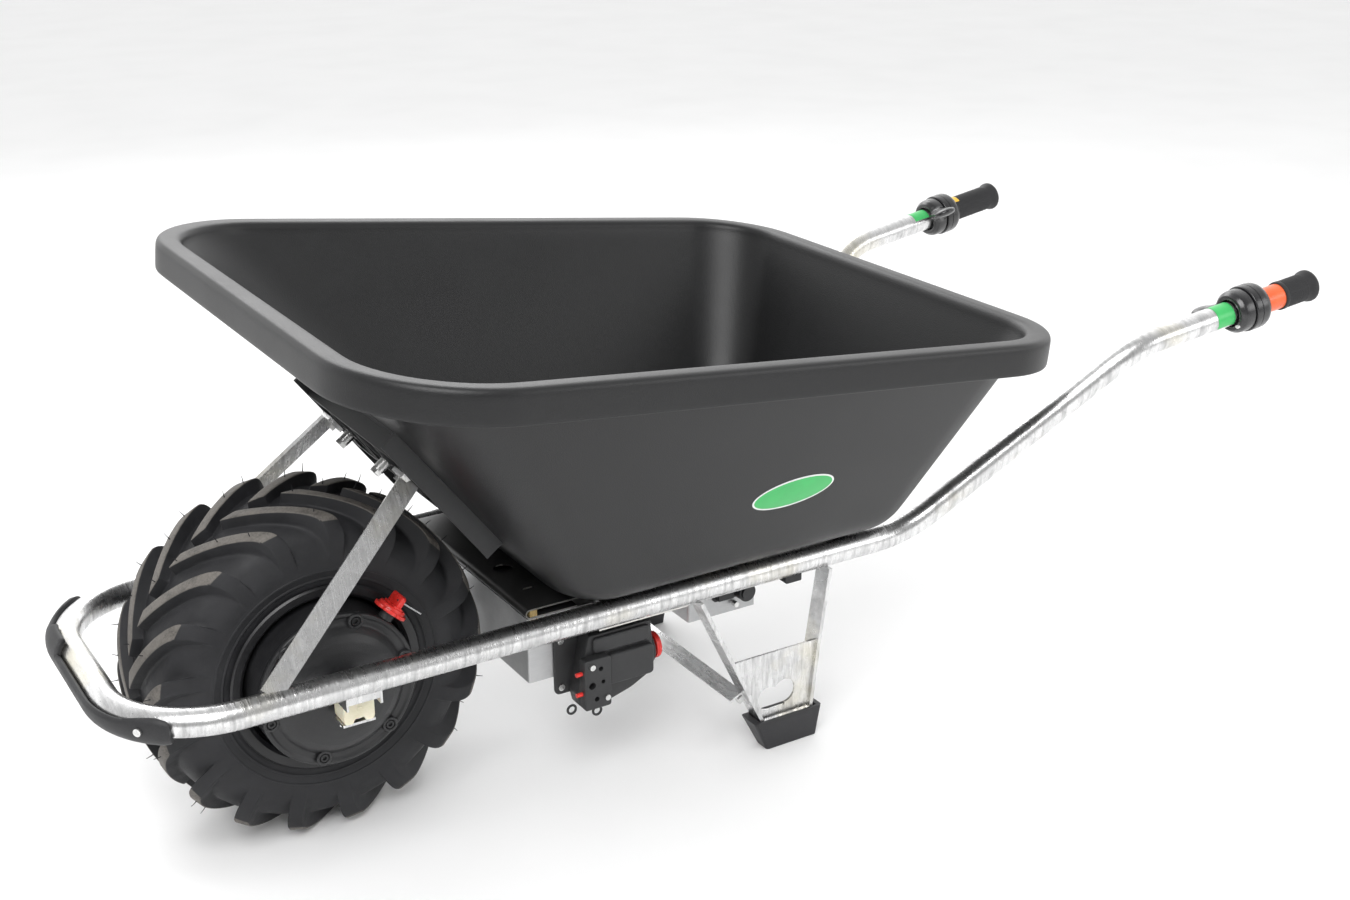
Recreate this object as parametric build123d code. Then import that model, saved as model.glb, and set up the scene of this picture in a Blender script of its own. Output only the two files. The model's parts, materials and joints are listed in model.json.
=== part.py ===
from build123d import *
import os
from math import atan2, cos, degrees, hypot, radians, sin

# A powered wheelbarrow: one driven wheel with a hub motor, a bent tube frame, a moulded tray,
# a battery and controller under the tray, two legs with rubber feet and two handles with levers.
# Millimetres. +X points back to the handles, -Y is the operator's left, +Z is up, ground at Z = 0.
# Each function builds in a frame whose X = 0 is the wheel's axle; place() moves that to the part's frame.

# Overall reach, measured from the axle
FRONT_REACH = 269.0                      # to the outside of the bumper
REAR_REACH = 1324.2                      # to the ends of the grips
AXLE_X = (FRONT_REACH - REAR_REACH) / 2
GAP = 0.3                                # clearance between pieces that touch or move past each other

# Wheel, size 16x6.50-8
TYRE_R = 203.0
TYRE_HALF = 82.5
CASING_R = 190.0
RIM_FLANGE_R = 114.0
BEAD_R = 101.6
LUGS_PER_SIDE = 17
LUG_WIDTH = 24.0                         # along the tread, so about 15 square to the bar
LUG_LEAN = 1.26                          # how far a bar runs round the tread for each step outward
DRUM_R = 93.0
DRUM_HALF = 108.0
COVER_SCREWS = 6
COVER_SCREW_PCD = 166.8
AXLE_D = 18.0
AXLE_HALF = 171.0
BEARING_OD = 42.0
BEARING_W = 12.0
KNOB_ANGLE = 48.0                        # where the knob stands on the wheel, up from +X
KNOB_Y = -106.0
KNOB_PIN_R = 3.0
VALVE_R = 96.5

# Frame
TUBE_OD = 32.0
TUBE_WALL = 2.5
RAIL_Y = 180.0
RAIL_Z = 244.0
LOOP_FRONT = 245.0
LOOP_RADIUS = 112.0
BUMPER_T = 8.0
BUMPER_END = 56.0
BUMPER_RIVET = 42.0
BUMPER_LOW = 15.0
BUMPER_RIVET_HOLE_R = 2.1
BUMPER_TAB_Y = (46.0, 97.0)
KINK_X = 755.0                           # where the rails turn up towards the handles
BEND = (1020.0, 298.0, 482.0)            # where the handles turn level
HANDLE_END = (1318.0, 315.7, 523.0)
KINK_RADIUS = 120.0
BEND_RADIUS = 120.0
RAIL_TOP = RAIL_Z + TUBE_OD / 2

# Tray
TRAY_FLOOR_Z = 262.4
TRAY_WALL = 4.5
RIM_FRONT = (-46.0, 643.0)               # X, Z of the rim's front edge
RIM_TILT = 6.65                          # degrees that the rim drops towards the handles
RIM_LENGTH = 924.0
RIM_HALF_FRONT = 406.0
RIM_HALF_REAR = 368.0
RIM_CORNER_FRONT = 150.0
RIM_CORNER_REAR = 125.0
RIM_OVERHANG = 26.0
RIM_SKIRT = 38.0
FLOOR_FRONT_X = 262.0
FLOOR_REAR_X = 735.0
FLOOR_HALF = 205.0
FLOOR_CORNER = 62.0

# Panel and struts in front of the tray; slopes are measured up the tray's front wall
PANEL_SLOPE = (100.0, 300.0)
PANEL_HALF = 132.0
PANEL_DEPTH = 26.0
LATTICE_SLOPE = (190.0, 275.0)
LATTICE_BAYS = 8
PANEL_BOLT_Y = 52.0
STRUT_SLOPE = 238.0
STRUT_TOP_Y = 118.0
STRUT_WIDTH = 24.0
TAB_BOLT_Y = 16.0
STRUT_T = 5.0
STRUT_FOOT = (-100.0, -RAIL_Y, RAIL_TOP - 4)

# Floor plate, crossmembers and the cases under them
PLATE_T = 2.0
PLATE_TOP = 262.0
PLATE_FRONT_X = 215.0
PLATE_RETURN_X = 283.0
PLATE_REAR_X = 715.0
PLATE_HALF = 156.0
CROSSMEMBER_X = (316.0, 660.0)
FLOOR_BOLT_Y = 110.0
CASE_FACE_Y = -142.0
BATTERY_X = (224.0, 373.0)
BATTERY_Z = (158.0, 242.0)
CONTROLLER_X = (447.0, 547.0)
CONTROLLER_Z = (178.0, 246.0)
CONTROLLER_FAR_Y = 70.0

# Battery switch on the battery case's left face
SWITCH_BASE_Y = CASE_FACE_Y - 4.0
BASE_SCREW_X = 264.0
BASE_SCREW_Z = (144.0, 206.0)
BLOCK_SCREWS = ((286.0, 181.0), (306.0, 136.0))
BUTTON_X = 399.0
BUTTON_Y = -137.0
BUTTON_Z = 160.0

# Legs
LEG_INNER_Y = 174.0
LEG_OUTER_Y = 200.0
LEG_T = 5.0
LEG_PATH = ((430.0, 232.0), (524.0, 40.0), (597.0, 40.0), (607.0, 130.0), (622.0, 232.0))
GUSSET_Y = 193.0
GUSSET_T = 3.0
TIE_Z = 82.0
TIE_BOLT_Y = 184.0
FOOT_TOP_Z = 44.0
FOOT_POCKET_Z = 38.0

# Handle controls, measured along the handle from its bend
COLLAR_START = 160.0
LEVER_LENGTH = 22.0
COLLAR_LENGTH = 30.0
COLLAR_R = 31.0
BAND_LENGTH = 34.0
GRIP_R = 18.5
GRIP_FLANGE_R = 21.5
LEVER_REACH = 64.0


def place(shape):
    return Pos(AXLE_X, 0, 0) * shape


def save(name, shape):
    export_step(place(shape), f"parts/{name}.step")


def mirrored(shape):
    """The operator's right-hand twin of a left-hand piece."""
    return mirror(shape, about=Plane.XZ)


def ring(outer_r, inner_r, length, centre=(0, 0, 0), axis=(0, 1, 0)):
    """A round tube along axis, centred on a point."""
    plane = Plane(origin=centre, z_dir=axis)
    half = length / 2
    body = extrude(plane.offset(-half) * Circle(outer_r), length, dir=axis)
    if inner_r > 0:
        body -= extrude(plane.offset(-half - 1) * Circle(inner_r), length + 2, dir=axis)
    return body


def turned(points):
    """Spins a closed outline of (Y, radius) points about the axle."""
    outline = Polyline(*[(0, y, r) for y, r in points], close=True)
    return Pos(0, 0, TYRE_R) * revolve(make_face(outline), Axis.Y)


def block(x0, x1, y0, y1, z0, z1):
    """A box between two corners."""
    centre = ((x0 + x1) / 2, (y0 + y1) / 2, (z0 + z1) / 2)
    return Pos(*centre) * Box(abs(x1 - x0), abs(y1 - y0), abs(z1 - z0))


# ---------------------------------------------------------------- wheel

def lug_station(y, low_r, top_r, angle):
    """A radial rectangle of the lug, LUG_WIDTH wide, in the plane at y."""
    face = Polyline(
        (-LUG_WIDTH / 2, low_r), (LUG_WIDTH / 2, low_r),
        (LUG_WIDTH / 2 - 2, top_r), (-LUG_WIDTH / 2 + 2, top_r), close=True)
    plane = Plane(origin=(0, y, 0), x_dir=(cos(radians(angle)), 0, -sin(radians(angle))), z_dir=(0, 1, 0))
    return plane * make_face(face)


# Half sections of the tyre as (Y, radius), from the crown to the bead and back inside.
CASING_OUTSIDE = [(35, 188), (60, 182), (74, 171), (81, 155), (TYRE_HALF, 143), (80.5, 128), (77, 116), (77, 104)]
CASING_INSIDE = [(68, 104), (66, 114), (71, 130), (73, 144), (71, 154), (64, 164), (50, 172)]
CASING_INNER_R = 178.0
# Sections along one bar as (Y, radius of its foot, radius of its top).
LUG_STATIONS = ((3, 185, TYRE_R), (35, 183, TYRE_R - 0.5), (62, 176, 200), (77, 163, 193), (TYRE_HALF + 1.5, 154, 176))


def tyre():
    """A casing with chevron bars, half a pitch apart on the two sides."""
    half = CASING_OUTSIDE + CASING_INSIDE
    right = [(0, CASING_R)] + half + [(0, CASING_INNER_R)]
    left = [(-y, r) for y, r in reversed(half)]
    casing = turned(right + left)
    pitch = 360 / LUGS_PER_SIDE
    bars = []
    for side in (-1, 1):
        faces = []
        for y, low_r, top_r in LUG_STATIONS:
            advance = degrees(LUG_LEAN * (y - LUG_STATIONS[0][0]) / TYRE_R)
            faces.append(lug_station(side * y, low_r, top_r, advance))
        bar = loft(faces, ruled=True)
        first = 180 + (pitch / 2 if side > 0 else 0)
        for i in range(LUGS_PER_SIDE):
            bars.append(Pos(0, 0, TYRE_R) * Rot(0, first + i * pitch, 0) * bar)
    return casing + bars


RIM_SECTION = [(-50, DRUM_R), (-58, 98.4), (-76, 98.4), (-80.6, 103), (-82.5, 112), (-80.5, RIM_FLANGE_R),
               (-77.2, 113), (-77.2, 103.6), (-66, BEAD_R), (-56, BEAD_R), (-46, 96)]


def rim():
    """A drop-centre steel rim whose well sits on the motor's drum."""
    far = [(-y, r) for y, r in reversed(RIM_SECTION)]
    return turned(RIM_SECTION + far) - tyre_valve()


def tyre_valve():
    """The valve's stem and cap, on the wheel's far side."""
    stem = ring(2.5, 0, 28.0, (VALVE_R, 0, 0)) + ring(3.4, 0, 12.0, (VALVE_R, 20, 0))
    return Pos(0, 72, TYRE_R) * Rot(0, 150, 0) * stem


def motor_drum():
    """The motor's rotating housing."""
    drum = turned([(-DRUM_HALF, DRUM_R), (DRUM_HALF, DRUM_R), (DRUM_HALF, 75), (94, 75), (94, 88),
                   (-94, 88), (-94, 75), (-DRUM_HALF, 75)])
    for x, z in screw_places():
        drum -= ring(COVER_HOLE_R, 0, 2 * DRUM_HALF + 2, (x, 0, z))
    return drum


def screw_places():
    """X and Z of the screws on each hub cover."""
    angles = [radians(73 + i * 360 / COVER_SCREWS) for i in range(COVER_SCREWS)]
    radius = COVER_SCREW_PCD / 2
    return [(radius * cos(a), TYRE_R + radius * sin(a)) for a in angles]


COVER_SECTION = ((DRUM_HALF, 14), (DRUM_HALF, BEARING_OD / 2), (120, BEARING_OD / 2), (120, 60), (DRUM_HALF, 70),
                 (DRUM_HALF, DRUM_R), (114, DRUM_R), (119, 76), (127, 64), (133, 44), (135.5, 26), (135.5, 14))
COVER_BOSS_R = 8.5
COVER_BOSS_H = 11.0
COVER_HOLE_R = 3.0
COVER_BORE_R = 12.0


def hub_cover(side):
    """A domed end cover with six screw bosses and a bearing seat."""
    dome = turned([(side * y, r) for y, r in COVER_SECTION])
    dome -= ring(BEARING_OD / 2, 0, BEARING_W, (0, side * (DRUM_HALF + BEARING_W / 2), TYRE_R))
    for x, z in screw_places():
        dome += ring(COVER_BOSS_R, 0, COVER_BOSS_H, (x, side * (DRUM_HALF + COVER_BOSS_H / 2), z))
    for x, z in screw_places():
        dome -= ring(COVER_HOLE_R, 0, 40.0, (x, side * DRUM_HALF, z))
    return dome - ring(COVER_BORE_R, 0, 4 * DRUM_HALF, (0, 0, TYRE_R))


def cover_screws():
    """Socket screws that hold both covers to the drum."""
    screws = []
    for side in (-1, 1):
        for x, z in screw_places():
            head = ring(5.0, 2.5, 5.0, (x, side * (DRUM_HALF + 13.6), z))
            shank = ring(2.9, 0, 21.0, (x, side * (DRUM_HALF + 1), z))
            screws.append(head + shank)
    return Compound(screws)


STATOR_TEETH = 18
STATOR_W = 40.0
STATOR_R = 75.5


def stator():
    """Laminated teeth on a round hub, fixed to the axle."""
    body = ring(56.0, AXLE_D / 2, STATOR_W, (0, 0, TYRE_R))
    for i in range(STATOR_TEETH):
        turn = Pos(0, 0, TYRE_R) * Rot(0, i * 360 / STATOR_TEETH, 0)
        body += turn * Pos(0, 0, 63) * Box(7, STATOR_W, 18)
        body += turn * Pos(0, 0, 73) * Box(19, STATOR_W, 5)
    return body & ring(STATOR_R, AXLE_D / 2, STATOR_W, (0, 0, TYRE_R))


def windings():
    """Copper coils, one round each tooth."""
    coils = []
    for i in range(STATOR_TEETH):
        turn = Pos(0, 0, TYRE_R) * Rot(0, i * 360 / STATOR_TEETH, 0)
        coils.append(turn * Pos(0, 0, 63.5) * (Box(13, 48, 10) - Box(7.4, 40.4, 12)))
    return Compound(coils)


def rotor_magnets():
    """The ring of magnets inside the drum."""
    return ring(88.0, 76.2, 40.0, (0, 0, TYRE_R))


def bearing(side):
    """A ball bearing between a cover and the axle."""
    return ring(BEARING_OD / 2 - 0.01, AXLE_D / 2 + 0.05, BEARING_W, (0, side * (DRUM_HALF + 6), TYRE_R))


def axle():
    """The fixed motor axle."""
    return ring(AXLE_D / 2, 0, 2 * AXLE_HALF, (0, 0, TYRE_R))


def knob_frame():
    """A plane on the drum's rim: its Z points out along the wheel's radius."""
    angle = radians(KNOB_ANGLE)
    direction = (cos(angle), 0, sin(angle))
    origin = (0, KNOB_Y, TYRE_R)
    return Plane(origin=origin, x_dir=(0, 1, 0), z_dir=direction)


def knob_stem():
    """The black plunger that the freewheel knob turns on."""
    stem = extrude(Circle(8.5), 9.0) + extrude(Circle(KNOB_PIN_R), 15.0)
    return knob_frame().offset(DRUM_R + 0.1) * stem


KNOB_R = 21.3
KNOB_COLLAR_R = 17.0
KNOB_SEAT = DRUM_R + 9.3
KNOB_ROD_X = -7.5
KNOB_ROD_Z = 17.0
KNOB_ROD_R = 1.28
KNOB_ROD_LENGTH = 36.0


def freewheel_knob():
    """A red winged knob that turns a quarter turn about the wheel's radius."""
    disc = extrude(Circle(KNOB_R), 4.0) + Pos(0, 0, 4) * extrude(Circle(KNOB_COLLAR_R), 4.0)
    notches = [Rot(0, 0, a) * Pos(23, 0, 2) * Cylinder(5.0, 5) for a in range(0, 360, 60)]
    wing = Pos(0, 0, 16) * Box(26, 6, 16) - Pos(0, 0, KNOB_ROD_Z) * Rot(90, 0, 0) * Cylinder(2.0, 30)
    wing -= Pos(KNOB_ROD_X, 0, KNOB_ROD_Z) * Rot(90, 0, 0) * Cylinder(KNOB_ROD_R + 0.02, 30)
    body = (disc - notches) + wing - Pos(0, 0, 3) * Cylinder(KNOB_PIN_R + 0.05, 8)
    return knob_frame().offset(KNOB_SEAT) * body


def knob_rod():
    """The short steel rod through the knob's wing."""
    rod = Pos(KNOB_ROD_X, -14, KNOB_ROD_Z) * Rot(90, 0, 0) * Cylinder(KNOB_ROD_R, KNOB_ROD_LENGTH)
    return knob_frame().offset(KNOB_SEAT) * rod


# ---------------------------------------------------------------- frame

def tube_points():
    """Corners of the frame tube's centre line, from the left handle round the front to the right one."""
    left = [(HANDLE_END[0], -HANDLE_END[1], HANDLE_END[2]), (BEND[0], -BEND[1], BEND[2]),
            (KINK_X, -RAIL_Y, RAIL_Z), (-LOOP_FRONT, -RAIL_Y, RAIL_Z)]
    return left + [(x, -y, z) for x, y, z in reversed(left)]


def main_tube():
    """One bent tube: both handles, both rails and the loop round the wheel."""
    radii = [BEND_RADIUS, KINK_RADIUS, LOOP_RADIUS, LOOP_RADIUS, KINK_RADIUS, BEND_RADIUS]
    path = FilletPolyline(*tube_points(), radius=radii)
    section = Plane(origin=path @ 0, z_dir=path % 0)
    solid = sweep(section * Circle(TUBE_OD / 2), path=path)
    bore = sweep(section * Circle(TUBE_OD / 2 - TUBE_WALL), path=path)
    return solid - bore


def loop_place(angle, side, reach=LOOP_RADIUS):
    """A point on one of the front loop's corners. The angle is round from straight ahead."""
    turn = radians(angle)
    centre_y = RAIL_Y - LOOP_RADIUS
    return (LOOP_RADIUS - LOOP_FRONT - reach * cos(turn), side * (centre_y + reach * sin(turn)), RAIL_Z)


def loop_path(angle):
    """The front loop's centre line, between the same angle on its left and right corners."""
    left = [loop_place(step * angle, -1) for step in (1, 0.5, 0)]
    right = [loop_place(step * angle, 1) for step in (0, 0.5, 1)]
    return Wire([ThreePointArc(*left), Line(left[2], right[0]), ThreePointArc(*right)])


def sector(inner_r, outer_r, low, high):
    """A ring sector in the tube's cross-section. Angles are up from the outward side."""
    arc_out = ThreePointArc(*[(outer_r * cos(radians(a)), outer_r * sin(radians(a)))
                              for a in (low, (low + high) / 2, high)])
    arc_in = ThreePointArc(*[(inner_r * cos(radians(a)), inner_r * sin(radians(a)))
                             for a in (high, (low + high) / 2, low)])
    sides = [Line(arc_out @ 1, arc_in @ 0), Line(arc_in @ 1, arc_out @ 0)]
    return make_face(Curve() + [arc_out, arc_in] + sides)


def bumper():
    """A rubber guard on the outside of the loop, with one tab that reaches over its top."""
    path = loop_path(BUMPER_END)
    outward = Vector(path @ 0) - Vector(*loop_place(0, -1, 0))
    start = Plane(origin=path @ 0, x_dir=outward, z_dir=path % 0)
    inner_r = TUBE_OD / 2 + 0.02
    guard = sweep(start * sector(inner_r, inner_r + BUMPER_T, -80, 55), path=path)
    low_z = RAIL_Z + (inner_r + BUMPER_T / 2) * sin(radians(BUMPER_LOW))
    for low_y, high_y in ((-RAIL_Y, BUMPER_TAB_Y[0]), (BUMPER_TAB_Y[1], RAIL_Y)):
        guard -= block(-2 * LOOP_FRONT, 0, low_y, high_y, low_z, RAIL_Z + TUBE_OD)
    for side in (-1, 1):
        guard -= rivet_place(side) * Cylinder(BUMPER_RIVET_HOLE_R, 3 * BUMPER_T)
    return guard


def rivet_place(side):
    """The middle of the guard's thickness at its rivet, with Z pointing outward."""
    centre = Vector(*loop_place(0, side, 0))
    place_on = Vector(*loop_place(BUMPER_RIVET, side, LOOP_RADIUS + TUBE_OD / 2 + BUMPER_T / 2))
    return Location(Plane(origin=place_on, z_dir=place_on - centre))


def bumper_rivets():
    """One rivet near each end of the guard."""
    shank = Pos(0, 0, 0.4) * Cylinder(BUMPER_RIVET_HOLE_R - 0.1, BUMPER_T + 0.2)
    head = Pos(0, 0, BUMPER_T / 2 + 1.5) * Cylinder(4.5, 2.4)
    return Compound([rivet_place(side) * (shank + head) for side in (-1, 1)])


def rail_bar():
    """A solid bar the size of the left rail, for cutting the saddles of what is welded to it."""
    return ring(TUBE_OD / 2, 0, 1100.0, (400.0, -RAIL_Y, RAIL_Z), (1, 0, 0))


CLAMP_Y = -158.0
CLAMP_BOLT_X = (-13.0, 13.0)
CLAMP_BOLT_R = 2.5
CLAMP_HOLE_R = 2.6


def axle_bracket():
    """A channel welded under the rail."""
    top = block(-21, 21, -191, -143, 224, 233)
    cheeks = block(-21, -18.2, -191, -143, 217, 224) + block(18.2, 21, -191, -143, 217, 224)
    return top + cheeks - rail_bar()


def axle_block():
    """A nylon block that clamps the axle under the bracket."""
    body = fillet(block(-18, 18, -172, -144, 190, 224).edges().filter_by(Axis.Y), 4.0)
    body -= ring(AXLE_D / 2, 0, 60.0, (0, CLAMP_Y, TYRE_R))
    for x in CLAMP_BOLT_X:
        body -= ring(CLAMP_HOLE_R, 0, 60.0, (x, CLAMP_Y, 207), (0, 0, 1))
    return body


def axle_plate():
    """The steel strap under the block."""
    body = block(-19, 19, -171, -145, 187, 190)
    for x in CLAMP_BOLT_X:
        body -= ring(CLAMP_HOLE_R, 0, 20.0, (x, CLAMP_Y, 188), (0, 0, 1))
    return body


def axle_bolts():
    """Bolts up through the straps and blocks, with their nuts."""
    bolts = []
    for x in CLAMP_BOLT_X:
        shank = ring(CLAMP_BOLT_R, 0, 42.0, (x, CLAMP_Y, 203), (0, 0, 1))
        head = Pos(x, CLAMP_Y, 183) * extrude(RegularPolygon(4.5, 6, major_radius=False), 4)
        bolt = shank + head
        bolts += [bolt, mirrored(bolt)]
    return Compound(bolts)


def wall_plane():
    """The tray's front wall: X up the slope, Y across, Z out of the wall."""
    base = Vector(FLOOR_FRONT_X, 0, TRAY_FLOOR_Z)
    slope = (Vector(*rim_point(RIM_OVERHANG, 0)) - base).normalized()
    return Plane(origin=base, x_dir=slope, z_dir=slope.cross(Vector(0, 1, 0)))


def on_wall(x0, x1, y0, y1, z0, z1):
    """A box in the front wall's own axes."""
    return wall_plane() * block(x0, x1, y0, y1, z0, z1)


def front_strut():
    """A flat brace from the left rail up to the panel, with a bent tab on top."""
    top = wall_plane().from_local_coords(Vector(STRUT_SLOPE, -STRUT_TOP_Y, PANEL_DEPTH))
    foot = Vector(*STRUT_FOOT)
    axis = (top - foot).normalized()
    across = Vector(-0.35, -1.0, 0.25).cross(axis).normalized()
    section = Plane(origin=foot, x_dir=across, z_dir=axis) * Rectangle(STRUT_WIDTH, STRUT_T)
    bar = extrude(section, (top - foot).length + 4)
    half = STRUT_WIDTH / 2
    tab = on_wall(STRUT_SLOPE - half, STRUT_SLOPE + half, -STRUT_TOP_Y - STRUT_T / 2, -STRUT_TOP_Y + STRUT_WIDTH,
                  PANEL_DEPTH + GAP, PANEL_DEPTH + GAP + STRUT_T)
    above = on_wall(0, 500, -300, 0, -100, PANEL_DEPTH + GAP)
    bolt_hole = wall_plane() * Pos(STRUT_SLOPE, TAB_BOLT_Y - STRUT_TOP_Y, 0) * Cylinder(BOLT_HOLE_R, 200)
    return bar - above + tab - rail_bar() - bolt_hole


def panel_bolt_places():
    """Slope and Y of the four bolts that go into the panel."""
    outer = [(STRUT_SLOPE, side * (STRUT_TOP_Y - TAB_BOLT_Y)) for side in (-1, 1)]
    inner = [(STRUT_SLOPE, side * PANEL_BOLT_Y) for side in (-1, 1)]
    return outer, inner


def support_panel():
    """A moulded panel under the tray's front wall, with side flanges and a lattice of ribs."""
    rib = 4.0
    low, high = PANEL_SLOPE
    panel = on_wall(low, high, -PANEL_HALF, PANEL_HALF, GAP, GAP + rib)
    for side in (-1, 1):
        panel += on_wall(low, high, side * PANEL_HALF, side * (PANEL_HALF - rib), GAP, PANEL_DEPTH)
    chord_low, chord_high = LATTICE_SLOPE
    for chord in LATTICE_SLOPE:
        panel += on_wall(chord - rib / 2, chord + rib / 2, -PANEL_HALF, PANEL_HALF, GAP, PANEL_DEPTH)
    bay = 2 * (PANEL_HALF - rib) / LATTICE_BAYS
    run = hypot(bay, chord_high - chord_low)
    lean = degrees(atan2(bay, chord_high - chord_low))
    for i in range(LATTICE_BAYS):
        centre = -PANEL_HALF + rib + (i + 0.5) * bay
        turn = Rot(0, 0, lean if i % 2 else -lean)
        diagonal = Pos((chord_low + chord_high) / 2, centre, (GAP + PANEL_DEPTH) / 2) * turn * Box(
            run, 3.0, PANEL_DEPTH - GAP)
        panel += wall_plane() * diagonal
    outer, inner = panel_bolt_places()
    for slope, y in outer + inner:
        panel += wall_plane() * Pos(slope, y, (GAP + PANEL_DEPTH) / 2) * Cylinder(9.0, PANEL_DEPTH - GAP)
    for slope, y in outer + inner:
        panel -= wall_plane() * Pos(slope, y, PANEL_DEPTH) * Cylinder(4.05, 2 * PANEL_DEPTH - 16)
    return panel


HEX_R = 6.5                      # half the width across flats of the M8 bolts and nuts
HEX_HEAD_T = 5.0
HEX_NUT_T = 6.5
BOLT_R = 4.0
BOLT_HOLE_R = 4.2
FLOOR_HOLE_R = 4.3
SPACER_R = 7.0
SPACER_T = 13.0


def hexagon(thickness):
    """A hexagon head or nut, standing on the plane it is placed at."""
    return extrude(RegularPolygon(HEX_R, 6, major_radius=False), thickness)


def panel_bolts():
    """Two plain bolts through the struts' tabs and two with spacers."""
    outer, inner = panel_bolt_places()
    bolts = []
    for slope, y in outer:
        seat = PANEL_DEPTH + GAP + STRUT_T + 0.1
        head = Pos(slope, y, seat) * hexagon(HEX_HEAD_T)
        bolts.append(wall_plane() * (head + Pos(slope, y, seat / 2 + 5) * Cylinder(BOLT_R, seat - 10)))
    for slope, y in inner:
        seat = PANEL_DEPTH + 14.0
        spacer = Pos(slope, y, seat - SPACER_T / 2) * Cylinder(SPACER_R, SPACER_T)
        head = Pos(slope, y, seat) * hexagon(HEX_HEAD_T)
        bolts.append(wall_plane() * (spacer + head + Pos(slope, y, seat / 2 + 5) * Cylinder(BOLT_R, seat - 10)))
    return Compound(bolts)


# ---------------------------------------------------------------- tray and floor

def rim_point(u, v):
    """A point on the rim's plane: u back from its front edge, v across."""
    tilt = radians(RIM_TILT)
    return (RIM_FRONT[0] + u * cos(tilt), v, RIM_FRONT[1] - u * sin(tilt))


def rim_plane():
    tilt = radians(RIM_TILT)
    return Plane(origin=rim_point(0, 0), x_dir=(cos(tilt), 0, -sin(tilt)), z_dir=(sin(tilt), 0, cos(tilt)))


def rounded_trapezium(front, rear, half_front, half_rear, r_front, r_rear):
    """A trapezium with rounded corners, symmetric about X."""
    outline = FilletPolyline(
        (front, -half_front), (rear, -half_rear), (rear, half_rear), (front, half_front),
        radius=[r_front, r_rear, r_rear, r_front], close=True)
    return make_face(outline)


def rim_outline(inset):
    """The rim's outline, moved in by inset."""
    return rounded_trapezium(inset, RIM_LENGTH - inset, RIM_HALF_FRONT - inset, RIM_HALF_REAR - inset,
                             RIM_CORNER_FRONT - inset, RIM_CORNER_REAR - inset)


def floor_outline(inset):
    """The tray floor's outline, moved in by inset."""
    return rounded_trapezium(FLOOR_FRONT_X + inset, FLOOR_REAR_X - inset, FLOOR_HALF - inset, FLOOR_HALF - inset,
                             FLOOR_CORNER - inset, FLOOR_CORNER - inset)


def tray():
    """A deep tapered tray with a turned-down rim, and holes for its floor bolts."""
    top = rim_plane()
    floor = Plane.XY.offset(TRAY_FLOOR_Z)
    mouth = RIM_OVERHANG + TRAY_WALL + 1
    shell = loft([floor * floor_outline(0), top * rim_outline(RIM_OVERHANG)], ruled=True)
    inside = loft([floor.offset(TRAY_WALL) * floor_outline(TRAY_WALL + 1), top * rim_outline(mouth)], ruled=True)
    flange = extrude(top * rim_outline(0), -TRAY_WALL) - extrude(top.offset(1) * rim_outline(mouth), -20)
    hollow = extrude(top.offset(1) * rim_outline(TRAY_WALL), -RIM_SKIRT - 2)
    skirt = extrude(top * rim_outline(0), -RIM_SKIRT) - hollow
    body = shell - inside + (flange + skirt)
    for x, y in floor_bolt_places():
        body -= ring(FLOOR_HOLE_R, 0, 20.0, (x, y, TRAY_FLOOR_Z), (0, 0, 1))
    return body


def floor_bolt_places():
    return [(x, y) for x in CROSSMEMBER_X for y in (-FLOOR_BOLT_Y, FLOOR_BOLT_Y)]


def floor_bolts():
    """Dome-headed bolts with washers that hold the tray down to the crossmembers."""
    inside = TRAY_FLOOR_Z + TRAY_WALL + 0.1
    nut_z = PLATE_TOP - PLATE_T - 4.5
    bolts = []
    for x, y in floor_bolt_places():
        washer = Pos(x, y, inside + 1) * Cylinder(12.0, 2.0)
        head = Pos(x, y, inside + 2) * (Sphere(8.0) & Pos(0, 0, 2.5) * Box(20, 20, 5))
        shank = Pos(x, y, (inside + nut_z - 8) / 2) * Cylinder(BOLT_R, inside - nut_z + 8)
        nut = Pos(x, y, nut_z - 7) * hexagon(HEX_NUT_T)
        bolts.append(washer + head + shank + nut)
    return Compound(bolts)


FOLD_R = 6.0


def floor_plate():
    """A sheet under the tray whose front edge folds back under itself."""
    fold_x = PLATE_FRONT_X + FOLD_R
    fold_z = PLATE_TOP - FOLD_R
    plate = block(fold_x, PLATE_REAR_X, -PLATE_HALF, PLATE_HALF, PLATE_TOP - PLATE_T, PLATE_TOP)
    plate += block(fold_x, PLATE_RETURN_X, -PLATE_HALF, PLATE_HALF, fold_z - FOLD_R, fold_z - FOLD_R + PLATE_T)
    fold = ring(FOLD_R, FOLD_R - PLATE_T, 2 * PLATE_HALF, (fold_x, 0, fold_z))
    plate += fold - block(fold_x, fold_x + 20, -200, 200, fold_z - 20, fold_z + 20)
    for x, y in floor_bolt_places():
        plate -= ring(FLOOR_HOLE_R, 0, 10.0, (x, y, PLATE_TOP), (0, 0, 1))
    plate -= ring(12.0, 0, 10.0, (246, -38, PLATE_TOP), (0, 0, 1))
    plate -= Pos(246, -104, PLATE_TOP) * extrude(SlotOverall(16, 6), 10, both=True)
    return plate


def edge_strip():
    """The packing strip inside the plate's front fold."""
    z = PLATE_TOP - FOLD_R
    return block(PLATE_FRONT_X + FOLD_R, PLATE_FRONT_X + 15, -PLATE_HALF, PLATE_HALF, z - 3.9, z + 3.9)


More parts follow.
